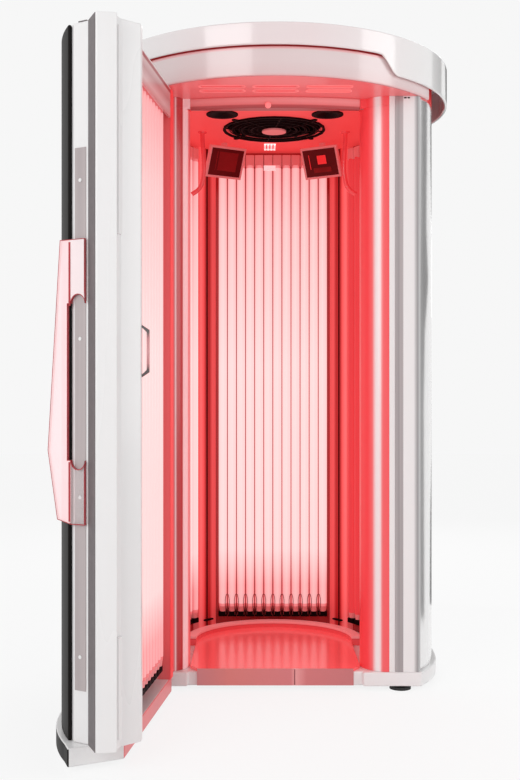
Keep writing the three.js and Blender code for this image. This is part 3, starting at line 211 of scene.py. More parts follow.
# The fascia's rose tint is painted red light, pinker at its foot, and the red band along its top is a painted
# shadow under the halo.
fascia_white = running("fascia_lacquer_painted_light_and_shadow", (0, 0, 1), FASCIA_LOW, FASCIA_TOP,
                       ((0.0, 0.78, 0.46, 0.465), (0.10, 0.75, 0.57, 0.57), (0.5, 0.76, 0.62, 0.62),
                        (0.88, 0.76, 0.63, 0.63), (0.93, 0.80, 0.42, 0.43), (1.0, 0.80, 0.26, 0.27)),
                       rough=(0.16, 0.24), coat=0.4)
# The ring's red inside is painted red light, darkest at the sides as painted shade.
crown_inside = running("lit_crown_inside", (0, 1, 0), -0.66, 0.66,
                       ((0.0, 0.80, 0.62, 0.62), (0.32, 0.66, 0.16, 0.17), (0.50, 0.42, 0.04, 0.045),
                        (0.68, 0.60, 0.46, 0.46), (1.0, 0.80, 0.78, 0.78)), 0.06, rough=(0.15, 0.25),
                       coat=0.3)
# The door cap's rose bands are painted red light and its dark red band near the top is painted shade; the top
# itself is white.
cap_painted_light = running("cap_metal_painted_light_and_shade", (0, 0, 1), 2.02, 2.13,
                     ((0.0, 0.66, 0.34, 0.345), (0.25, 0.80, 0.60, 0.60), (0.55, 0.58, 0.33, 0.335),
                      (0.80, 0.70, 0.52, 0.52), (0.84, 0.36, 0.04, 0.05), (0.92, 0.42, 0.05, 0.06),
                      (0.96, 0.80, 0.78, 0.78), (1.0, 0.82, 0.81, 0.81)), rough=(0.25, 0.35), metal=0.2)
# The drum's red and glow are painted red light, darkest at its sides as painted shade, turning white towards
# the back.
drum_red = running("lit_drum_lacquer", (0, 1, 0), -0.56, 0.56,
                   ((0.0, 0.78, 0.05, 0.055), (0.30, 0.72, 0.045, 0.05), (0.52, 0.40, 0.022, 0.026),
                    (0.70, 0.62, 0.50, 0.50), (1.0, 0.80, 0.78, 0.78)), 0.08, rough=(0.35, 0.45))
black = surface("black_moulded_plastic", (0.010, 0.002, 0.003), (0.004, 0.001, 0.0015), 40.0,
                rough=(0.5, 0.7), bump=0.1, shine=0.05)
rubber = surface("black_rubber", (0.02, 0.02, 0.02), (0.009, 0.009, 0.009), 90.0, rough=(0.6, 0.8), bump=0.2)
glass = surface("dark_red_glass", (0.110, 0.004, 0.005), (0.060, 0.002, 0.003), 9.0, rough=(0.35, 0.5),
                shine=0.15, glow=(0.11, 0.002, 0.003), glow_level=0.3)
soffit_red = running("red_lit_soffit", (0, 1, 0), -0.65, 0.55,
                     ((0.0, 0.84, 0.21, 0.22), (0.22, 0.80, 0.155, 0.165), (0.30, 0.80, 0.14, 0.15),
                      (0.42, 0.62, 0.40, 0.40), (0.55, 0.80, 0.78, 0.78), (1.0, 0.80, 0.78, 0.78)), 0.16,
                     rough=(0.25, 0.35), coat=0.2)
print("finishes:", len(bpy.data.materials))

# %% [markdown]
# ## Putting a finish on each solid
# Flat pieces are right as they are, so they only get a finish. Curved pieces are made
# again further down with more steps, so that light slides over them without facets.

# %% Finishes on the solids
by_finish = {
    white: "base_plinth right_wall rear_wall left_wall crown_fascia roof_panel crown_halo "
           "door_latch_stile door_edge_strip_upper door_edge_strip_lower door_plinth",
    dark: "door_skin",
    plate_grey: "door_cover_strip",
    strip_metal: "latch_strip",
    chrome: "hinge_strip hinge_bracket_upper hinge_bracket_lower",
    red: "hinge_column latch_column crown_drum right_grip left_grip",
    ceiling_red: "ceiling_panel",
    cap_painted_light: "door_top_cap",
    soffit_red: "crown_soffit",
    sheet: "right_reflector left_reflector rear_reflector door_reflector",
    floor_red: "floor_platform",
    kick_painted_light: "kick_plate",
    pale: "door_header fan_cap right_panel_frame left_panel_frame "
          "right_lamp_bank left_lamp_bank rear_lamp_bank door_lamp_bank door_outer_handle",
    black: "fan_housing fan_rotor fan_guard right_speaker left_speaker",
    glass: "right_panel_screen left_panel_screen",
    rubber: "foot_front_right foot_front_left foot_rear_right foot_rear_left foot_centre cable_gland",
}


def dress(names, finish):
    for name in names.split():
        nodes[name].data.materials.clear()
        nodes[name].data.materials.append(finish)


for finish, names in by_finish.items():
    dress(names, finish)
print("finished solids:", sum(len(names.split()) for names in by_finish.values()))

# %% [markdown]
# ## Helpers for new pieces
# A new piece starts as an outline in plan, is pushed up to its height and gets a small
# bevel on its hard edges. The bevel is what catches the light along a moulded edge. The
# sharp edges that are left keep flat faces flat under smooth shading.

# %% Making and placing a piece
def soften(bm, width, segments=2, limit=28):
    hard = [e for e in bm.edges if len(e.link_faces) == 2 and e.calc_face_angle() > math.radians(limit)]
    bmesh.ops.bevel(bm, geom=hard, offset=width, offset_type="OFFSET", segments=segments, profile=0.5,
                    affect="EDGES", clamp_overlap=True, material=-1)


def piece(name, bm, finishes, body, stands_for=()):
    bmesh.ops.recalc_face_normals(bm, faces=bm.faces)
    mesh = bpy.data.meshes.new(name)
    bm.to_mesh(mesh)
    bm.free()
    for finish in finishes:
        mesh.materials.append(finish)
    mesh.polygons.foreach_set("use_smooth", [True] * len(mesh.polygons))
    mesh.set_sharp_from_angle(angle=math.radians(32))
    made = bpy.data.objects.new(name, mesh)
    bpy.context.scene.collection.objects.link(made)
    made.modifiers.new("even_shading", "WEIGHTED_NORMAL").keep_sharp = True
    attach(made, body)
    if stands_for:
        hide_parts(*stands_for)


def pushed_up(outline, low, high):
    bm = bmesh.new()
    base = bm.faces.new([bm.verts.new((x, y, low)) for x, y in outline])
    raised = bmesh.ops.extrude_face_region(bm, geom=[base])["geom"]
    top = [v for v in raised if isinstance(v, bmesh.types.BMVert)]
    bmesh.ops.translate(bm, verts=top, vec=(0, 0, high - low))
    bmesh.ops.recalc_face_normals(bm, faces=bm.faces)
    return bm


def span(a, b, steps):
    return [a + (b - a) * i / steps for i in range(steps + 1)]


def arc(radius, a, b, steps, x=0.0, y=0.0):
    return [(x + radius * math.cos(t), y + radius * math.sin(t)) for t in span(a, b, steps)]


def whole(bm):
    return bm.verts[:] + bm.edges[:] + bm.faces[:]


print("outline helpers ready")

# %% [markdown]
# Small fittings come from three plain stocks, as in a workshop: a block sawn to size, a
# rod turned to two radii and a frame between two outlines.

# %% Blocks, rods and frames
def block(bm, size, place, turn=None):
    made = bmesh.ops.create_cube(bm, size=1.0)["verts"]
    bmesh.ops.scale(bm, verts=made, vec=size)
    if turn is not None:
        bmesh.ops.rotate(bm, verts=made, cent=(0, 0, 0), matrix=turn)
    bmesh.ops.translate(bm, verts=made, vec=place)
    return made


def rod(bm, low_radius, high_radius, depth, segments, place):
    made = bmesh.ops.create_cone(bm, cap_ends=True, cap_tris=False, segments=segments,
                                 radius1=low_radius, radius2=high_radius, depth=depth)["verts"]
    bmesh.ops.translate(bm, verts=made, vec=place)
    return made


def ring(bm, spots):
    verts = [bm.verts.new(spot) for spot in spots]
    return verts, [bm.edges.new((verts[i - 1], verts[i])) for i in range(len(verts))]


def framed(bm, outer, inner, low, high):
    rings = [ring(bm, [(x, y, z) for x, y in outline])[1]
             for outline, z in ((outer, low), (outer, high), (inner, high), (inner, low))]
    for i in range(4):
        bmesh.ops.bridge_loops(bm, edges=rings[i - 1] + rings[i])


print("stock helpers ready")

# %% [markdown]
# ## Outer wall and plinth
# The wall's plan is a rounded square. The real panels are bent sheet, so each one is a
# thin strip of that curve. The solids have a few flat steps; here the same curve is
# taken in many more, and the lacquer's reflections run smoothly round it.

# %% Wall panels
HALF_WIDTH, HALF_DEPTH, SQUARENESS, WALL = 0.605, 0.560, 2.8, 0.012
STAND, WALL_TOP = 0.0663, 2.133
WALL_FRONT = -0.3807
HALF_SEAM = 0.0005  # an angle, left open at each end of a panel


def wall_x(y):
    return HALF_WIDTH * (1 - (abs(y) / HALF_DEPTH) ** SQUARENESS) ** (1 / SQUARENESS)


def wall_line(inset, angles):
    line = []
    for t in angles:
        across = abs(math.cos(t)) / (HALF_WIDTH - inset)
        along = abs(math.sin(t)) / (HALF_DEPTH - inset)
        radius = (across ** SQUARENESS + along ** SQUARENESS) ** (-1 / SQUARENESS)
        line.append((radius * math.cos(t), radius * math.sin(t)))
    return line


wall_start = math.atan2(WALL_FRONT, wall_x(WALL_FRONT))
corner = math.radians(40)
for name, a, b, steps in (("right_wall", wall_start, corner, 30),
                          ("rear_wall", corner, math.pi - corner, 40),
                          ("left_wall", math.pi - corner, math.pi - wall_start, 30)):
    angles = span(a + HALF_SEAM, b - HALF_SEAM, steps)
    bm = pushed_up(wall_line(0, angles) + wall_line(WALL, angles[::-1]), STAND, WALL_TOP)
    soften(bm, 0.0012)
    piece(name + "_panel", bm, [outer_white], "cabin", [name])
print("wall panels made")

# %% Plinth under the wall
FLARE, FOOT, PLINTH_TOP = 0.016, 0.016, 0.066
FRONT, RECESS, RECESS_X, FRONT_X = -0.412, -0.398, 0.314, 0.525
angles = span(wall_start, math.pi - wall_start, 90)
bm = pushed_up(wall_line(-FLARE, angles)
               + [(-FRONT_X, FRONT), (-RECESS_X, FRONT), (-RECESS_X, RECESS),
                  (RECESS_X, RECESS), (RECESS_X, FRONT), (FRONT_X, FRONT)], FOOT, PLINTH_TOP)
soften(bm, 0.006, 3)
piece("plinth_board", bm, [white], "cabin", ["base_plinth"])
print("plinth made")

# %% [markdown]
# ## The crown
# A wide white ring overhangs the cabin. At the front it is narrow and sits above the
# fascia; at the sides it steps down in a soft curve. Spinning a rounded section makes
# the ring, and lifting the lower edge over the doorway makes the step.

# %% Halo ring
def rounded_section(inner, outer, low, high, radius, steps=4):
    quarter = math.pi / 2
    spots = []
    for x, z, turn in ((outer - radius, low + radius, -1), (outer - radius, high - radius, 0),
                       (inner + radius, high - radius, 1), (inner + radius, low + radius, 2)):
        spots += [(x + radius * math.cos(t), z + radius * math.sin(t))
                  for t in span(turn * quarter, (turn + 1) * quarter, steps)]
    return spots


def spun(section, angle, steps, turn=0.0):
    bm = bmesh.new()
    verts, edges = ring(bm, [(x, 0, z) for x, z in section])
    bmesh.ops.rotate(bm, verts=verts, cent=(0, 0, 0), matrix=Matrix.Rotation(turn, 3, "Z"))
    full = abs(angle - 2 * math.pi) < 1e-6
    bmesh.ops.spin(bm, geom=verts + edges, cent=(0, 0, 0), axis=(0, 0, 1), angle=angle, steps=steps,
                   use_merge=full)
    if not full:
        bmesh.ops.holes_fill(bm, edges=[e for e in bm.edges if e.is_boundary], sides=0)
    bmesh.ops.recalc_face_normals(bm, faces=bm.faces)
    return bm


HALO_LOW, HALO_FRONT, CROWN_TOP = 2.170, 2.234, 2.310
STEP_START, STEP_END, LEFT_SHIFT = 0.425, 0.358, 0.110
LIT_TOP = 2.285  # the lamps redden the inside of the ring up to here
bm = spun(rounded_section(0.663, 0.675, HALO_LOW, CROWN_TOP, 0.0055), 2 * math.pi, 240)
for v in bm.verts:
    if v.co.z < 2.2 and v.co.y < 0:
        reach = v.co.x if v.co.x > 0 else -v.co.x - LEFT_SHIFT
        t = min(max((STEP_START - reach) / (STEP_START - STEP_END), 0), 1)
        v.co.z += (HALO_FRONT - HALO_LOW) * t * t * (3 - 2 * t)
bmesh.ops.bisect_plane(bm, geom=whole(bm), plane_co=(0, 0, LIT_TOP), plane_no=(0, 0, 1))
for f in bm.faces:
    middle = f.calc_center_median()
    inside = middle.x * f.normal.x + middle.y * f.normal.y < -0.3
    f.material_index = 1 if middle.z < LIT_TOP and inside else 0
piece("halo_ring", bm, [crown_white, crown_inside], "cabin", ["crown_halo"])
print("halo made")

# %% Fascia and drum
half = math.radians(58)
bm = spun(rounded_section(0.650, 0.660, FASCIA_LOW, FASCIA_TOP, 0.0040), 2 * half, 90, -math.pi / 2 - half)
piece("fascia_band", bm, [fascia_white], "cabin", ["crown_fascia"])
angles = span(0, 2 * math.pi, 120)[:-1]
bm = bmesh.new()
framed(bm, wall_line(0, angles), wall_line(WALL, angles), 2.1416, 2.2897)
piece("drum_band", bm, [drum_red], "cabin", ["crown_drum"])
print("fascia and drum made")

# %% [markdown]
# ## Doorway columns
# The quarter-round columns are glossy white mouldings that stand in the lamps' light:
# red along both edges and nearly white on the crest. The light there is soft and comes
# with the booth, so the moulding carries it as a colour that runs across the round.

# %% Column finish
COLUMN_X, COLUMN_Y, COLUMN_R = 0.409, -0.307, 0.098
LATCH_BANDS = ((0.0, 0.82, 0.05, 0.06), (0.46, 0.84, 0.065, 0.075), (0.60, 0.82, 0.15, 0.16),
               (0.66, 0.80, 0.52, 0.53), (0.70, 0.79, 0.72, 0.725), (0.77, 0.78, 0.745, 0.75),
               (0.81, 0.80, 0.62, 0.625), (0.845, 0.78, 0.20, 0.21), (0.88, 0.78, 0.10, 0.11),
               (1.0, 0.80, 0.08, 0.09))
HINGE_BANDS = ((0.0, 0.70, 0.04, 0.05), (0.18, 0.80, 0.22, 0.23), (0.24, 0.90, 0.66, 0.67),
               (0.42, 0.88, 0.60, 0.61), (0.46, 0.46, 0.022, 0.027), (0.62, 0.42, 0.02, 0.025),
               (0.65, 0.56, 0.16, 0.17), (0.675, 0.80, 0.60, 0.60), (0.70, 0.60, 0.18, 0.19),
               (0.74, 0.80, 0.075, 0.085), (1.0, 0.80, 0.10, 0.11))

# %% Columns
LINING_TOP = 2.0997
JAMB = math.radians(-25)  # where the side lamps begin
HEADER_X, HEADER_END, HEADER_BACK, HEADER_GAP = 0.308, -0.366, -0.350, 0.0005
HEAD_TURN = 0.646  # how far short of the quarter the head's round stops, at the header
jamb = JAMB - 0.0007
middle = COLUMN_X - COLUMN_Y
head_x, head_y = HEADER_X + HEADER_GAP, HEADER_BACK - HEADER_GAP
for name, side, bands in (("latch", 1, LATCH_BANDS), ("hinge", -1, HINGE_BANDS)):
    lacquer = running(name + "_round_lacquer", (side, -1, 0), middle - COLUMN_R, middle + COLUMN_R, bands,
                      0.18, rough=(0.25, 0.33), coat=0.1)
    plan = arc(COLUMN_R, 1.5 * math.pi, math.pi, 40, COLUMN_X, COLUMN_Y)
    plan += [(r * math.cos(jamb), r * math.sin(jamb)) for r in (0.425, 0.431)]
    plan += [(0.323, COLUMN_Y), (COLUMN_X, COLUMN_Y)]
    head = arc(COLUMN_R, 1.5 * math.pi, math.pi + HEAD_TURN, 24, COLUMN_X, COLUMN_Y)
    head += [(head_x, HEADER_END), (head_x, head_y), (COLUMN_X, head_y)]
    for label, outline, low, high, bevel, stands_for in (
            ("_round", plan, STAND, LINING_TOP, 0.0015, [name + "_column"]),
            ("_round_head", head, LINING_TOP + 0.0003, WALL_TOP, 0.0008, ())):
        bm = pushed_up([(side * x, y) for x, y in outline], low, high)
        soften(bm, bevel)
        piece(name + label, bm, [lacquer], "cabin", stands_for)
print("columns made")

# %% Header over the doorway
HEADER_LOW, HEADER_BOW = 2.092, 0.034
bow = [(x, HEADER_END - HEADER_BOW * (1 - (x / HEADER_X) ** 2)) for x in span(-HEADER_X, HEADER_X, 40)]
bm = pushed_up(bow + [(HEADER_X, HEADER_BACK), (-HEADER_X, HEADER_BACK)], HEADER_LOW, WALL_TOP)
soften(bm, 0.005, 3)
# The header's rose colour and glow are painted red light, and its dark lower edge is painted shade.
header_rose = running("lit_header_lacquer", (0, 0, 1), HEADER_LOW, WALL_TOP,
                      ((0.0, 0.34, 0.05, 0.055), (0.24, 0.46, 0.09, 0.095), (0.34, 0.76, 0.23, 0.235),
                       (0.65, 0.84, 0.34, 0.345), (1.0, 0.80, 0.27, 0.275)), 0.14, coat=0.1)
piece("header_cover", bm, [header_rose], "cabin", ["door_header"])
print("header made")

# %% [markdown]
# ## Lamp tubes
# A lit tube is brightest on the side that faces the room and red where it turns away to
# the reflector. Each tube is a cone operator's cylinder, and every vertex keeps how far
# it faces the room. The finish turns that number into the tube's colour and light.

# %% Lamp finish
lamp, tree, shader = blank("lit_lamp_glass")
facing = node(tree, "Attribute", attribute_name="facing")
bright = banded(tree, ((0.0, 0.68, 0.17, 0.18), (0.16, 0.92, 0.52, 0.52), (0.36, 0.96, 0.68, 0.67),
                       (0.7, 0.975, 0.76, 0.75), (1.0, 0.98, 0.81, 0.80)))
warm = banded(tree, ((0.0, 0.45, 0.03, 0.035), (0.3, 0.78, 0.11, 0.12), (0.6, 0.91, 0.33, 0.34),
                     (1.0, 0.94, 0.50, 0.50)))
place, apart = node(tree, "TexCoord"), node(tree, "SeparateXYZ")
ends = banded(tree, ((0.0, 1, 1, 1), (0.06, 0.9, 0.9, 0.9), (0.14, 0.05, 0.05, 0.05), (0.55, 0, 0, 0),
                     (0.85, 0.45, 0.45, 0.45), (1.0, 0.95, 0.95, 0.95)))
height = node(tree, "MapRange", {"From Min": 0.13, "From Max": 2.05})
shade = node(tree, "Mix", data_type="RGBA")
wire(tree, (place.outputs["Object"], apart.inputs["Vector"]), (apart.outputs["Z"], height.inputs["Value"]),
     (height.outputs["Result"], ends.inputs["Fac"]), (facing.outputs["Fac"], bright.inputs["Fac"]),
     (facing.outputs["Fac"], warm.inputs["Fac"]), (ends.outputs["Color"], shade.inputs["Factor"]),
     (bright.outputs["Color"], shade.inputs["A"]), (warm.outputs["Color"], shade.inputs["B"]),
     (shade.outputs["Result"], shader.inputs["Emission Color"]))
fill(shader, {"Base Color": (0.25, 0.12, 0.12, 1), "Roughness": 0.25, "Emission Strength": 0.85})
# The right bank's deeper red glass is painted shade.
shaded_lamp = surface("shaded_lamp_glass", (0.70, 0.06, 0.07), (0.58, 0.04, 0.05), 30.0,
                      stretch=(1, 1, 0.02), shine=0.1, glow=(0.86, 0.09, 0.10), glow_level=0.34)
print("lamp finishes made")

# %% Tubes with their end caps
RAIL_LOW, RAIL_HIGH, RAIL = 0.106, 2.036, 0.050
TUBE, CAP, CAP_RADIUS, CAP_SHADE = 0.018, 0.012, 0.018 * 0.94, 0.45


def tube_bank(name, places, body, solid, level=1.0, finish=lamp):
    bm = bmesh.new()
    tone = bm.verts.layers.float.new("facing")
    low, high = RAIL_LOW + RAIL - 0.004, RAIL_HIGH + 0.004
    for x, y, face in places:
        for radius, a, b in ((TUBE, low + CAP, high - CAP), (CAP_RADIUS, low, low + CAP),
                             (CAP_RADIUS, high - CAP, high)):
            for v in rod(bm, radius, radius, b - a, 20, (x, y, (a + b) / 2)):
                v[tone] = level * max(0.0, Vector((v.co.x - x, v.co.y - y)).normalized().dot(face))
                if radius < TUBE:
                    v[tone] *= CAP_SHADE
    piece(name, bm, [finish], body, [solid])


def socket_rail(name, places, body):
    lower, upper = bmesh.new(), bmesh.new()
    for x, y, face in places:
        turn = Matrix.Rotation(math.atan2(face.y, face.x) + math.pi / 2, 3, "Z")
        for bm, z, size in ((lower, RAIL_LOW + 0.012, (0.037, 0.034, 0.020)),
                            (upper, RAIL_HIGH + RAIL / 2, (0.0362, 0.034, RAIL * 0.94))):
            block(bm, size, (x - face.x * 0.004, y - face.y * 0.004, z), turn)
        rod(upper, 0.013, 0.0165, 0.026, 16, (x, y, RAIL_LOW + 0.036))
    for bm, label, finish, slot in ((lower, "_socket_feet", black, "black"),
                                    (upper, "_lamp_holders", pale, "pale_rose")):
        soften(bm, 0.002)
        piece(name + label, bm, [finish], body, ())


print("lamp helpers ready")

# %% [markdown]
# The rear bank is a straight row. The side banks stand on an arc from the doorway's jamb
# to the corner pillar. In the photograph the right bank is a deeper red than the others,
# so it has a shaded copy of the lamp glass: its deeper red is painted shade.

# %% Cabin lamps
LAMP_ARC, END_SPACE, REAR_PITCH = 0.4, math.radians(1.2), 0.039
rear_places = [(REAR_PITCH * (i - 5.5), 0.362, Vector((0, -1))) for i in range(12)]
tube_bank("rear_tubes", rear_places, "cabin", "rear_lamp_bank")
socket_rail("rear", rear_places, "cabin")
first = JAMB + TUBE / LAMP_ARC + END_SPACE
last = math.radians(38) - TUBE / LAMP_ARC - END_SPACE
for name, side, finish in (("right", 1, shaded_lamp), ("left", -1, lamp)):
    places = [(side * LAMP_ARC * math.cos(t), LAMP_ARC * math.sin(t),
               Vector((-side * math.cos(t), -math.sin(t)))) for t in span(first, last, 9)]
    tube_bank(name + "_tubes", places, "cabin", name + "_lamp_bank", 0.75, finish)
    socket_rail(name, places, "cabin")
print("cabin lamps made")

# %% [markdown]
# ## The door
# The door is drawn shut, in the cabin's own plan, and then swung open about its hinge
# line, because shut is how its edge fits the column. One helper does the swing for every
# piece, so nothing on the door can drift from the rest.

# %% Swinging door pieces open
HINGE = Vector((-0.400, -0.456, 0))
OPEN = math.radians(96.5)
SWING = Matrix.Rotation(-OPEN, 3, "Z")


def swung(bm):
    bmesh.ops.rotate(bm, verts=bm.verts, cent=HINGE, matrix=SWING)
    return bm


def swung_point(x, y):
    spot = HINGE + SWING @ (Vector((x, y, 0)) - HINGE)
    return spot.x, spot.y


DOOR_BASE, DOOR_TOP = 0.070, 2.128
SKIN, SKIN_IN = 0.672, 0.6613
HINGE_EDGE_X = -0.405
EDGE_CORNER = (0.350, -0.561)


def hinge_edge(radius):
    return math.atan2(-math.sqrt(radius ** 2 - HINGE_EDGE_X ** 2), HINGE_EDGE_X)


skin_from = hinge_edge(SKIN)
corner_angle = math.atan2(EDGE_CORNER[1], EDGE_CORNER[0])
skin_to = corner_angle - math.radians(1.3)
bm = pushed_up(arc(SKIN, skin_from, skin_to, 60) + arc(SKIN_IN, skin_to, skin_from, 60), DOOR_BASE, DOOR_TOP)
soften(bm, 0.004, 3)
piece("door_outer_skin", swung(bm), [dark], "door", ["door_skin"])
print("door skin made")

# %% [markdown]
# The free edge is one folded moulding: it hugs the column's round inside, then turns out
# to a tip. A dark rubber strip lies on the fold.

# %% Latch stile with its folded edge
def by_column(radius, degrees):
    t = math.radians(degrees)
    return COLUMN_X + radius * math.cos(t), COLUMN_Y + radius * math.sin(t)


seal, nose = by_column(0.105, 241), by_column(0.103, 217)
stile_x = nose[0] - 0.021
seat = SKIN_IN - 0.0008
fold, tip, stop_edge = (0.371, -0.512), (0.444, -0.470), (0.428, -0.413)
outer_corner = (seat * math.cos(corner_angle), seat * math.sin(corner_angle))
bm = pushed_up([(stile_x, nose[1]), nose, seal, (0.378, -0.416), (0.415, -0.422), stop_edge, tip, fold,
                outer_corner, (stile_x, -math.sqrt(seat ** 2 - stile_x ** 2))], DOOR_BASE, DOOR_TOP)
soften(bm, 0.0035, 3, limit=12)
piece("latch_stile_moulding", swung(bm), [white], "door", ["door_latch_stile"])


def laid_on(a, b, out, thick, low, high, margin):
    along = Vector((b[0] - a[0], b[1] - a[1])).normalized()
    off = Vector((along.y, -along.x)) * out
    p, q = Vector(a) + along * margin, Vector(b) - along * margin
    lift = off.normalized() * thick
    outline = [p + off, q + off, q + off + lift, p + off + lift]
    return pushed_up([(v.x, v.y) for v in outline], low, high)


bm = laid_on(tip, fold, -0.0003, 0.0012, DOOR_BASE + 0.002, DOOR_TOP - 0.002, 0.006)
piece("edge_groove", swung(bm), [groove_grey], "door", ())
print("latch stile made")

# %% [markdown]
# The plinth is a board that follows the skin and ends in a straight front, as in the
# photograph; its solid follows the fold of the stile and reaches further out at the tip.
# Outside it is black like the skin, and on the lamp side it takes the red light.

# %% Door plinth
PLINTH_R = 0.688
plan = [(HINGE_EDGE_X, -0.434)] + arc(PLINTH_R, hinge_edge(PLINTH_R), corner_angle, 60)
plan += [(0.409, EDGE_CORNER[1]), (0.3175, -0.420), (-0.384, -0.420)]
bm = pushed_up(plan, FOOT, 0.0697)
soften(bm, 0.004, 3)
for f in bm.faces:
    if abs(f.normal.z) < 0.5 and f.calc_center_median().xy.length > 0.684:
        f.material_index = 1
    elif f.normal.y > 0.7:
        f.material_index = 2
rosy_plinth = surface("lit_plinth_lacquer", (0.74, 0.16, 0.17), (0.62, 0.11, 0.12), 5.0,
                      glow=(0.8, 0.14, 0.15), glow_level=0.10)
piece("door_plinth_board", swung(bm), [white, dark, rosy_plinth], "door", ["door_plinth"])
print("door plinth made")

# %% Door lamps
INNER_FACE, BAY_DEPTH, REFLECTOR, SEAM, CLEAR = -0.416, 0.062, 0.004, 0.0003, 0.007
BAY_START, DOOR_PITCH = -0.340, 0.045
lamp_y = INNER_FACE - BAY_DEPTH + REFLECTOR + SEAM + CLEAR + TUBE
bay_middle = (BAY_START + stile_x) / 2
inward = Matrix.Rotation(-OPEN, 2) @ Vector((0, 1))
door_places = [(*swung_point(bay_middle + DOOR_PITCH * (i - 6), lamp_y), inward) for i in range(13)]
tube_bank("door_tubes", door_places, "door", "door_lamp_bank", 0.7)
socket_rail("door", door_places, "door")
print("door lamps made")

# %% [markdown]
# ## Outer handle
# The handle is a plate of clear pink acrylic. Light travels inside such a plate and comes
# out at its cut edges, so the faces are nearly clear while the rim is deep red.

# %% Acrylic finish
# The plate's glow and the upper pad's paler colour and glow are painted light.
acrylic = surface("clear_rose_acrylic", (0.95, 0.70, 0.715), (0.93, 0.65, 0.665), 3.0, rough=(0.05, 0.09),
                  glow=(0.95, 0.70, 0.71), glow_level=0.28)
clear_pad = surface("clear_acrylic_pad", (0.90, 0.82, 0.825), (0.86, 0.78, 0.785), 3.0, rough=(0.05, 0.09))
pale_pad = surface("upper_acrylic_pad_painted_glow", (0.95, 0.84, 0.85), (0.93, 0.80, 0.81), 3.0, rough=(0.2, 0.3),
                   glow=(0.95, 0.80, 0.81), glow_level=0.08)
for finish, alpha in ((acrylic, 0.72), (clear_pad, 0.22), (pale_pad, 0.85)):
    fill(finish.node_tree.nodes["Principled BSDF"], {"Alpha": alpha})
acrylic_rim = surface("red_acrylic_rim", (0.48, 0.025, 0.04), (0.34, 0.012, 0.02), 10.0, rough=(0.1, 0.2),
                      coat=0.3)
print("acrylic finishes made")

# %% Handle plate
corner_spot = Vector((*EDGE_CORNER, 0))
fold_spot = Vector((*fold, 0))
face_in = (fold_spot - corner_spot).normalized()
face_up = Vector((0, 0, 1))
face_out = face_in.cross(face_up)
face = Matrix((face_in, face_up, face_out)).transposed().to_4x4()
face.translation = corner_spot


def on_edge(bm):
    bmesh.ops.transform(bm, matrix=face, verts=bm.verts)
    return swung(bm)


HOLLOW_TOP, HOLLOW_LOW = 1.324, 0.878
plan = [(0.050, 1.508)]
plan += [(0.025 + 0.025 * math.cos(t), HOLLOW_TOP + 0.026 * math.sin(t)) for t in span(0, math.pi, 12)]
plan += [(-0.012, HOLLOW_TOP), (-0.012, HOLLOW_LOW)]
plan += [(0.025 + 0.025 * math.cos(t), HOLLOW_LOW - 0.026 * math.sin(t)) for t in span(math.pi, 0, 12)]
plan += [(0.050, 0.694), (0, 0.694), (-0.050, 0.706), (-0.085, 0.904), (-0.040, 1.508)]
bm = pushed_up(plan, 0.0042, 0.0122)
flats = [f for f in bm.faces if abs(f.normal.z) > 0.9]
for f in bm.faces:
    f.material_index = 0 if f in flats else 1
for flat in flats:
    for f in bmesh.ops.inset_region(bm, faces=[flat], thickness=0.0022, use_even_offset=True)["faces"]:
        f.material_index = 1
bmesh.ops.bisect_plane(bm, geom=whole(bm), plane_co=(-0.004, 0, 0), plane_no=(1, 0, 0))
for f in bm.faces:
    if f.material_index == 0 and f.calc_center_median().x > 0:
        f.material_index = 2 if f.calc_center_median().y < 1.0 else 3
piece("outer_handle_plate", on_edge(bm), [acrylic, acrylic_rim, clear_pad, pale_pad], "door",
      ["door_outer_handle"])
print("outer handle made")

# %% Screws and fixing lines
bm = bmesh.new()
middle = (fold_spot - corner_spot).length / 2
for z in (0.317, 0.772, 1.224, 1.676):
    rod(bm, 0.0058, 0.0046, 0.0012, 24, (middle, z, 0.0040))
piece("cover_screws", on_edge(bm), [white], "door", ())
bm = bmesh.new()
for low, high in ((1.318, 1.500), (0.702, 0.872)):
    block(bm, (0.007, high - low, 0.0012), (-0.004, (low + high) / 2, 0.0129))
soften(bm, 0.0004, 1)
piece("handle_fixing_line", on_edge(bm), [acrylic_rim], "door", ())
print("cover screws and fixing lines made")

# %% [markdown]
# ## Small fittings
# The rest is what the eye checks last. The soffit has two rows of air slots with rounded
# ends. A pale liner closes each slot from above, and a thin trim runs round its mouth.

# %% Slot liners
def stadium(x, y, long, wide):
    return (arc(wide, -math.pi / 2, math.pi / 2, 8, x + long - wide, y)
            + arc(wide, math.pi / 2, 1.5 * math.pi, 8, x - long + wide, y))


# The liners' and trims' pale colour and glow are painted light.
slot_glow = surface("lit_slot_liner", (0.90, 0.30, 0.305), (0.86, 0.22, 0.225), 8.0, rough=(0.5, 0.6),
                    shine=0.1, glow=(0.92, 0.30, 0.30), glow_level=0.35)
liners, trims = bmesh.new(), bmesh.new()
for i in (-1, 0, 1):
    for y in (-0.470, -0.525):
        x = 0.188 * i
        block(liners, (0.137, 0.0165, 0.003), (x, y, 2.1385))
        framed(trims, stadium(x, y, 0.082, 0.0165), stadium(x, y, 0.0775, 0.0125), 2.1318, 2.1331)
soften(liners, 0.0006, 1)
piece("soffit_slot_liners", liners, [slot_glow], "cabin", ())
piece("soffit_slot_trims", trims, [slot_glow], "cabin", ())
print("slot liners made")

# %% [markdown]
# Some flat solids need light that runs across them: the pillars are darkest beside their
# slit, the rim catches a pale line along its top, and the posts darken as they turn away.

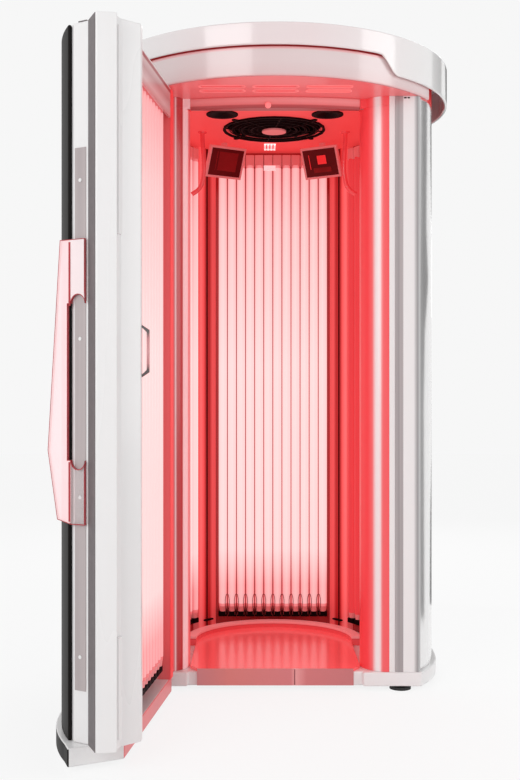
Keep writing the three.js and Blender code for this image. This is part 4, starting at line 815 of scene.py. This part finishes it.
# %% Pillar, rim and post finishes
pillar = running("shaded_pillar_lining", (1, 0, 0), 0.245, 0.313,
                 ((0.0, 0.72, 0.09, 0.095), (0.20, 0.76, 0.10, 0.105), (0.34, 0.42, 0.012, 0.015),
                  (0.60, 0.46, 0.018, 0.02), (0.70, 0.87, 0.115, 0.12), (0.86, 0.92, 0.21, 0.215),
                  (1.0, 0.88, 0.13, 0.135)), 0.32, both_sides=True, rough=(0.4, 0.5), shine=0.3)
rim = running("lit_floor_rim", (0, 0, 1), 0.0773, 0.1023,
              ((0.0, 0.80, 0.085, 0.095), (0.42, 0.80, 0.095, 0.105), (0.55, 0.62, 0.05, 0.06),
               (0.66, 0.86, 0.30, 0.31), (0.90, 0.88, 0.42, 0.42), (1.0, 0.88, 0.36, 0.365)), 0.16)
# The grey band along each post's outer edge is painted shade, as if the edge turned away.
post_white = running("post_lacquer_painted_shade", (1, 0, 0), 0.490, 0.5217,
                     ((0.0, 0.84, 0.83, 0.83), (0.22, 0.82, 0.81, 0.81), (0.40, 0.58, 0.565, 0.57),
                      (0.62, 0.32, 0.31, 0.315), (0.80, 0.42, 0.41, 0.415), (1.0, 0.56, 0.55, 0.555)),
                     both_sides=True, rough=(0.15, 0.25), coat=0.3)
dress("right_pillar left_pillar", pillar)
dress("floor_rim", rim)
dress("latch_post hinge_post", post_white)
print("pillar, rim and post finishes made")

# %% Pillar slits and feet
near = Vector((0.2453, 0.342))
far_angle = math.radians(39.5)
far = Vector((0.405 * math.cos(far_angle), 0.405 * math.sin(far_angle)))
along = (near - far).normalized()
into = Vector((along.y, -along.x))
turn = Matrix.Rotation(math.atan2(along.y, along.x), 3, "Z")
# The black strips laid in the pillars' slits are painted shade.
bm = bmesh.new()
for low, high, width, depth, back in ((0.0775, LINING_TOP - 0.001, 0.0094, 0.008, 0.0052),
                                      (0.1035, 0.1095, 0.050, 0.014, -0.0078)):
    centre = (near + far) / 2 + into * back
    block(bm, (width, depth, high - low), (centre.x, centre.y, (low + high) / 2), turn)
soften(bm, 0.0008, 1)
bmesh.ops.mirror(bm, geom=whole(bm), axis="X")
piece("pillar_slit_shade_strips", bm, [black], "cabin", ())
print("slits and feet made")

# %% [markdown]
# ## Bent bars
# A grip is a tube bent over a former, and a lamp clip is a loop of spring wire. Both are
# a smooth line with a round section, so one helper bends them all.

# %% Bending a bar
def bent_bar(bm, points, radius):
    curve = bpy.data.curves.new("bar", "CURVE")
    curve.dimensions = "3D"
    curve.bevel_depth = radius
    curve.bevel_resolution = 4 if radius > 0.005 else 1
    curve.use_fill_caps = True
    line = curve.splines.new("BEZIER")
    line.bezier_points.add(len(points) - 1)
    for knot, spot in zip(line.bezier_points, points):
        knot.co = spot
        knot.handle_left_type = knot.handle_right_type = "AUTO"
    bar = bpy.data.objects.new("bar", curve)
    bpy.context.scene.collection.objects.link(bar)
    mesh = bpy.data.meshes.new_from_object(bar.evaluated_get(bpy.context.evaluated_depsgraph_get()))
    bpy.data.objects.remove(bar)
    bm.from_mesh(mesh)
    bmesh.ops.remove_doubles(bm, verts=bm.verts, dist=0.00005)


print("bending helper ready")

# %% Hand grips
GRIP_X = 0.283
GRIP_BEND = ((0, 2.0994), (0, 1.905), (0.012, 1.876), (0.042, 1.8527))
# The grips' red colour and glow are painted red light.
grip_rose = surface("lit_grip_lacquer", (0.86, 0.10, 0.11), (0.74, 0.05, 0.06), 6.0, rough=(0.15, 0.25),
                    coat=0.2, glow=(0.86, 0.07, 0.08), glow_level=0.16)
for name, side in (("right_grip", 1), ("left_grip", -1)):
    bm = bmesh.new()
    bent_bar(bm, [(side * (GRIP_X + x), 0, z) for x, z in GRIP_BEND], 0.009)
    rod(bm, 0.016, 0.018, 0.005, 28, (side * GRIP_X, 0, 2.0972))
    piece(name + "_tube", bm, [grip_rose], "cabin", [name])
print("grips made")

# %% Tube clips
CLIP_BEND = ((-0.006, 0.118), (-0.006, 0.196), (0, 0.206), (0.006, 0.196), (0.006, 0.118))
clip_wire = surface("dark_clip_wire", (0.26, 0.03, 0.035), (0.18, 0.02, 0.025), 40.0, rough=(0.2, 0.3),
                    metal=0.3)
bm = bmesh.new()
for i in range(11):
    bent_bar(bm, [(REAR_PITCH * (i - 5) + x, 0.3405, z) for x, z in CLIP_BEND], 0.0014)
piece("tube_clips", bm, [clip_wire], "cabin", ())
print("tube clips made")

# %% [markdown]
# ## Doorway, ceiling and door details
# A dark line in the kick plate shows where two sheets seem to meet. The fan needs a black
# disc in its duct, which is painted shade, and a guard of round wires to look deep.

# %% Kick plate joint
bm = bmesh.new()
block(bm, (0.004, 0.0012, 0.056), (0.0695, -0.4025, 0.0475))
soften(bm, 0.0004, 1)
joint_line = surface("dark_rose_joint", (0.30, 0.075, 0.085), (0.22, 0.05, 0.06), 20.0, rough=(0.4, 0.5))
piece("kick_plate_joint", bm, [joint_line], "cabin", ())
print("kick plate joint made")

# %% Fan back and guard rings
FAN_Y, WIRE, GUARD_Z = -0.05, 0.0017, 2.0962
# The black disc high in the fan's duct is painted shade.
bm = bmesh.new()
bmesh.ops.create_circle(bm, cap_ends=True, cap_tris=False, segments=48, radius=0.1855)
bmesh.ops.translate(bm, verts=bm.verts, vec=(0, FAN_Y, 2.170))
bmesh.ops.solidify(bm, geom=bm.faces[:], thickness=0.002)
piece("fan_duct_shade_disc", bm, [black], "cabin", ())
bm = bmesh.new()
for radius in (0.066, 0.084, 0.102, 0.120, 0.138, 0.156, 0.174, 0.190):
    verts, edges = ring(bm, [(radius + WIRE * math.cos(t), 0, GUARD_Z + WIRE * math.sin(t))
                             for t in span(0, 2 * math.pi, 6)[:-1]])
    bmesh.ops.spin(bm, geom=verts + edges, cent=(0, 0, 0), axis=(0, 0, 1), angle=2 * math.pi, steps=64,
                   use_merge=True)
bmesh.ops.translate(bm, verts=bm.verts, vec=(0, FAN_Y, 0))
piece("fan_guard_wires", bm, [black], "cabin", ())
print("fan details made")

# %% [markdown]
# Each control screen is dark glass. Thin lit plates on it stand for its fields. They are
# laid on the largest face that looks into the room, whatever its tilt.

# %% Screen marks
mark = surface("lit_red_mark", (0.85, 0.03, 0.035), (0.70, 0.015, 0.02), 30.0, rough=(0.4, 0.5),
               glow=(0.9, 0.02, 0.025), glow_level=0.35)
dim = surface("dim_red_field", (0.20, 0.008, 0.010), (0.13, 0.005, 0.006), 12.0, rough=(0.35, 0.5),
              shine=0.15, glow=(0.20, 0.004, 0.005), glow_level=0.3)
RIGHT_FIELDS = ((0.008, 0.012, 0.040, 0.036, 0), (-0.048, 0.006, 0.003, 0.06, 0),
                (0.004, -0.030, 0.080, 0.020, 1))
LEFT_FIELDS = ((0.006, 0.004, 0.086, 0.078, 1), (-0.046, 0.004, 0.004, 0.078, 1))
for solid, name, fields in (("right_panel_screen", "screen_mark", RIGHT_FIELDS),
                            ("left_panel_screen", "screen_field", LEFT_FIELDS)):
    screen = nodes[solid].data
    out = max((f for f in screen.polygons if f.normal.y < -0.2), key=lambda f: f.area).normal
    spots = [screen.vertices[v].co for f in screen.polygons if f.normal.dot(out) > 0.999 for v in f.vertices]
    side_way = Vector((0, 0, 1)).cross(out).normalized()
    lie = Matrix((side_way, out.cross(side_way).normalized(), out)).transposed().to_4x4()
    lie.translation = sum(spots, Vector()) / len(spots)
    bm = bmesh.new()
    for x, y, wide, tall, finish in fields:
        made = block(bm, (wide, tall, 0.0006), (x, y, 0.0005))
        for f in {f for v in made for f in v.link_faces}:
            f.material_index = finish
    soften(bm, 0.00015, 1)
    bmesh.ops.transform(bm, matrix=lie, verts=bm.verts)
    piece(name, bm, [mark, dim], "cabin", ())
print("screen marks made")

# %% [markdown]
# A turned knob sits on the header. Above the rear lamps is a small pale comb. Its use
# can't be told from the photograph, so it is a plain clip laid on the ceiling.

# %% Header knob and ceiling clip
KNOB = ((0.0001, -0.012), (0.007, -0.012), (0.011, -0.006), (0.011, 0.0), (0.006, 0.004),
        (0.006, 0.010), (0.0001, 0.010))
bm = spun(KNOB, 2 * math.pi, 24)
bmesh.ops.rotate(bm, verts=bm.verts, cent=(0, 0, 0), matrix=Matrix.Rotation(math.radians(-90), 3, "X"))
bmesh.ops.translate(bm, verts=bm.verts, vec=(-0.026, -0.4010, 2.100))
# The knob shares the liners' painted glow.
piece("header_knob", bm, [slot_glow], "cabin", ())
CLIP_X, CLIP_Z, CLIP = -0.0137, 2.0976, 0.003
# The clip's glow is painted light.
clip_white = surface("lit_white_clip", (0.92, 0.86, 0.86), (0.90, 0.82, 0.82), 9.0,
                     glow=(1.0, 0.86, 0.86), glow_level=0.45)
bm = bmesh.new()
for i in range(4):
    block(bm, (0.0075, 0.110, CLIP), (-0.034 + 0.0135 * i, 0.255, CLIP_Z))
block(bm, (0.048, 0.022, CLIP), (CLIP_X, 0.205, CLIP_Z))
block(bm, (0.048, 0.012, CLIP), (CLIP_X, 0.305, CLIP_Z))
block(bm, (0.050, CLIP, 0.022), (CLIP_X, 0.3425, 2.027))
soften(bm, 0.0006, 1)
piece("ceiling_clip", bm, [clip_white], "cabin", ())
print("knob and clip made")

# %% [markdown]
# The door's hinge stile is white outside and red where the lamps reach it. The inner
# pull is smoked plastic: dark at its two ends and paler where light passes its bar.

# %% Hinge stile and inner pull finishes
lit_stile = running("lit_stile_lacquer", (1, 0, 0), -0.52, -0.36,
                    ((0.0, 0.84, 0.83, 0.83), (0.55, 0.82, 0.78, 0.78), (0.70, 0.80, 0.16, 0.17),
                     (0.92, 0.82, 0.12, 0.13), (1.0, 0.70, 0.06, 0.07)), 0.10)
heights = [v.co.z for v in nodes["door_inner_pull"].data.vertices]
smoky = running("smoky_pull", (0, 0, 1), min(heights), max(heights),
                ((0.0, 0.02, 0.006, 0.008), (0.14, 0.03, 0.008, 0.01), (0.26, 0.50, 0.17, 0.18),
                 (0.50, 0.62, 0.26, 0.27), (0.74, 0.50, 0.17, 0.18), (0.86, 0.03, 0.008, 0.01),
                 (1.0, 0.02, 0.006, 0.008)), rough=(0.15, 0.25))
dress("door_hinge_stile", lit_stile)
dress("door_inner_pull", smoky)
print("hinge stile and pull finished")

# %% Hinge stile lining
LINING_LOW, LINING_HIGH = 0.0705, 2.1275
bm = pushed_up([(-0.384, -0.4157), (-0.3405, -0.4157), (-0.3405, -0.4150), (-0.384, -0.4150)],
               LINING_LOW, LINING_HIGH)
piece("hinge_stile_lining", swung(bm), [red], "door", ())
bm = laid_on((HINGE_EDGE_X, -0.434), (-0.384, INNER_FACE), 0.0003, -0.0012, LINING_LOW, LINING_HIGH, 0.001)
piece("hinge_stile_trim", swung(bm), [chrome], "door", ())
print("hinge stile lined")

# %% Latch cap and post slots
bm = bmesh.new()
block(bm, (0.030, 0.0040, 0.022), (0.030, DOOR_TOP + 0.0024, -0.014))
soften(bm, 0.0010, 2)
piece("latch_cap", on_edge(bm), [groove_grey], "door", ())
# The two black blocks in the latch post's slots are painted shade.
bm = bmesh.new()
for x, wide in ((0.4665, 0.009), (0.4785, 0.008)):
    block(bm, (wide, 0.0012, 0.005), (x, -0.4053, 2.1265))
soften(bm, 0.0004, 1)
piece("post_slot_shades", bm, [black], "cabin", ())
print("latch cap and post slots made")

# %% [markdown]
# ## Light and ground
# A product picture like this stands on white. The world is white for the camera and for
# reflections, and a dimmer white for the light that falls on the booth. Three large soft
# lamps model the shapes. The floor is pale and keeps a faint shadow.

# %% World
def larger(tree, a, b):
    either = node(tree, "Math", operation="MAXIMUM")
    wire(tree, (a, either.inputs[0]), (b, either.inputs[1]))
    return either.outputs["Value"]


def ray_kinds(tree):
    way = node(tree, "LightPath").outputs
    return larger(tree, way["Is Camera Ray"], way["Is Glossy Ray"]), way["Is Transmission Ray"]


world = bpy.data.worlds.new("studio")
bpy.context.scene.world = world
world.use_nodes = True
tree = world.node_tree
lit = tree.nodes["Background"]
fill(lit, {"Color": (1, 1, 1, 1), "Strength": 0.60})
seen = node(tree, "Background", {"Color": (0.93, 0.93, 0.93, 1)})
mix = node(tree, "MixShader")
wire(tree, (larger(tree, *ray_kinds(tree)), mix.inputs["Fac"]), (lit.outputs["Background"], mix.inputs[1]),
     (seen.outputs["Background"], mix.inputs[2]),
     (mix.outputs["Shader"], tree.nodes["World Output"].inputs["Surface"]))
bpy.context.scene.view_settings.view_transform = "Standard"
print("world made")

# %% Studio lamps
def softbox(name, place, aim, size, power):
    light = bpy.data.lights.new(name, "AREA")
    light.shape = "RECTANGLE"
    light.size, light.size_y = size
    light.energy = power
    made = bpy.data.objects.new(name, light)
    made.location = place
    made.rotation_euler = (Vector(aim) - Vector(place)).to_track_quat("-Z", "Y").to_euler()
    bpy.context.scene.collection.objects.link(made)


softbox("front_softbox", (-2.4, -4.6, 2.5), (0, 0, 0.9), (2.4, 3.0), 70)
softbox("right_softbox", (3.6, -1.8, 2.2), (0, 0, 1.2), (1.6, 3.0), 38)
softbox("back_softbox", (0.5, 3.8, 2.8), (0, 0, 1.2), (2.5, 2.5), 45)
print("studio lamps made")

# %% Floor
def set_up(name, bm, finish):
    mesh = bpy.data.meshes.new(name)
    bm.to_mesh(mesh)
    bm.free()
    mesh.materials.append(finish)
    made = bpy.data.objects.new(name, mesh)
    bpy.context.scene.collection.objects.link(made)
    return made


floor_white, tree, shader = blank("studio_white")
fill(shader, {"Base Color": (0.9, 0.9, 0.9, 1), "Roughness": 0.7})
glow = node(tree, "Emission", {"Color": (0.985, 0.985, 0.985, 1)})
share = node(tree, "Math", {1: 0.85}, operation="MULTIPLY")
mix = node(tree, "MixShader")
wire(tree, (ray_kinds(tree)[0], share.inputs[0]), (share.outputs["Value"], mix.inputs["Fac"]),
     (shader.outputs["BSDF"], mix.inputs[1]), (glow.outputs["Emission"], mix.inputs[2]),
     (mix.outputs["Shader"], tree.nodes["Material Output"].inputs["Surface"]))
bm = bmesh.new()
bmesh.ops.create_grid(bm, x_segments=1, y_segments=1, size=14)
floor = set_up("studio_floor", bm, floor_white)
print("floor made")

# %% [markdown]
# ## Black cards
# Glossy lacquer only shows how round it is when it has something dark to mirror. Two
# black cards stand behind the booth on the right, where nothing but reflections sees
# them, and draw long tapered streaks down the wall.

# %% Black cards
card_black = surface("black_card", (0.02, 0.02, 0.02), (0.012, 0.012, 0.012), 3.0, rough=(0.8, 0.9),
                     shine=0.0)
NEAR_ROWS = ((0, 0, 0.24), (1.0, 0, 0.20), (1.35, 0, 0.28), (1.6, 0, 0.55), (1.85, 0.03, 0.40),
             (2.8, 0.10, 0.50))
FAR_ROWS = ((0, -0.3, 0.55), (0.45, -0.3, 0.46), (0.8, -0.3, 0.20), (1.3, -0.3, 0.12), (1.9, -0.3, 0.20),
            (2.2, -0.3, 0.42), (2.8, -0.3, 0.55))
for name, foot, way, rows in (("near_card", (1.58, 0.227), (-0.56, 0.83), NEAR_ROWS),
                              ("far_card", (0.74, 1.20), (0.95, -0.31), FAR_ROWS)):
    bm = bmesh.new()
    pairs = [[bm.verts.new((foot[0] + way[0] * t, foot[1] + way[1] * t, z)) for t in (a, b)]
             for z, a, b in rows]
    for (a, b), (c, d) in zip(pairs, pairs[1:]):
        bm.faces.new((a, b, d, c))
    card = set_up(name, bm, card_black)
    card.visible_camera = card.visible_diffuse = card.visible_shadow = card.visible_transmission = False
print("cards made")
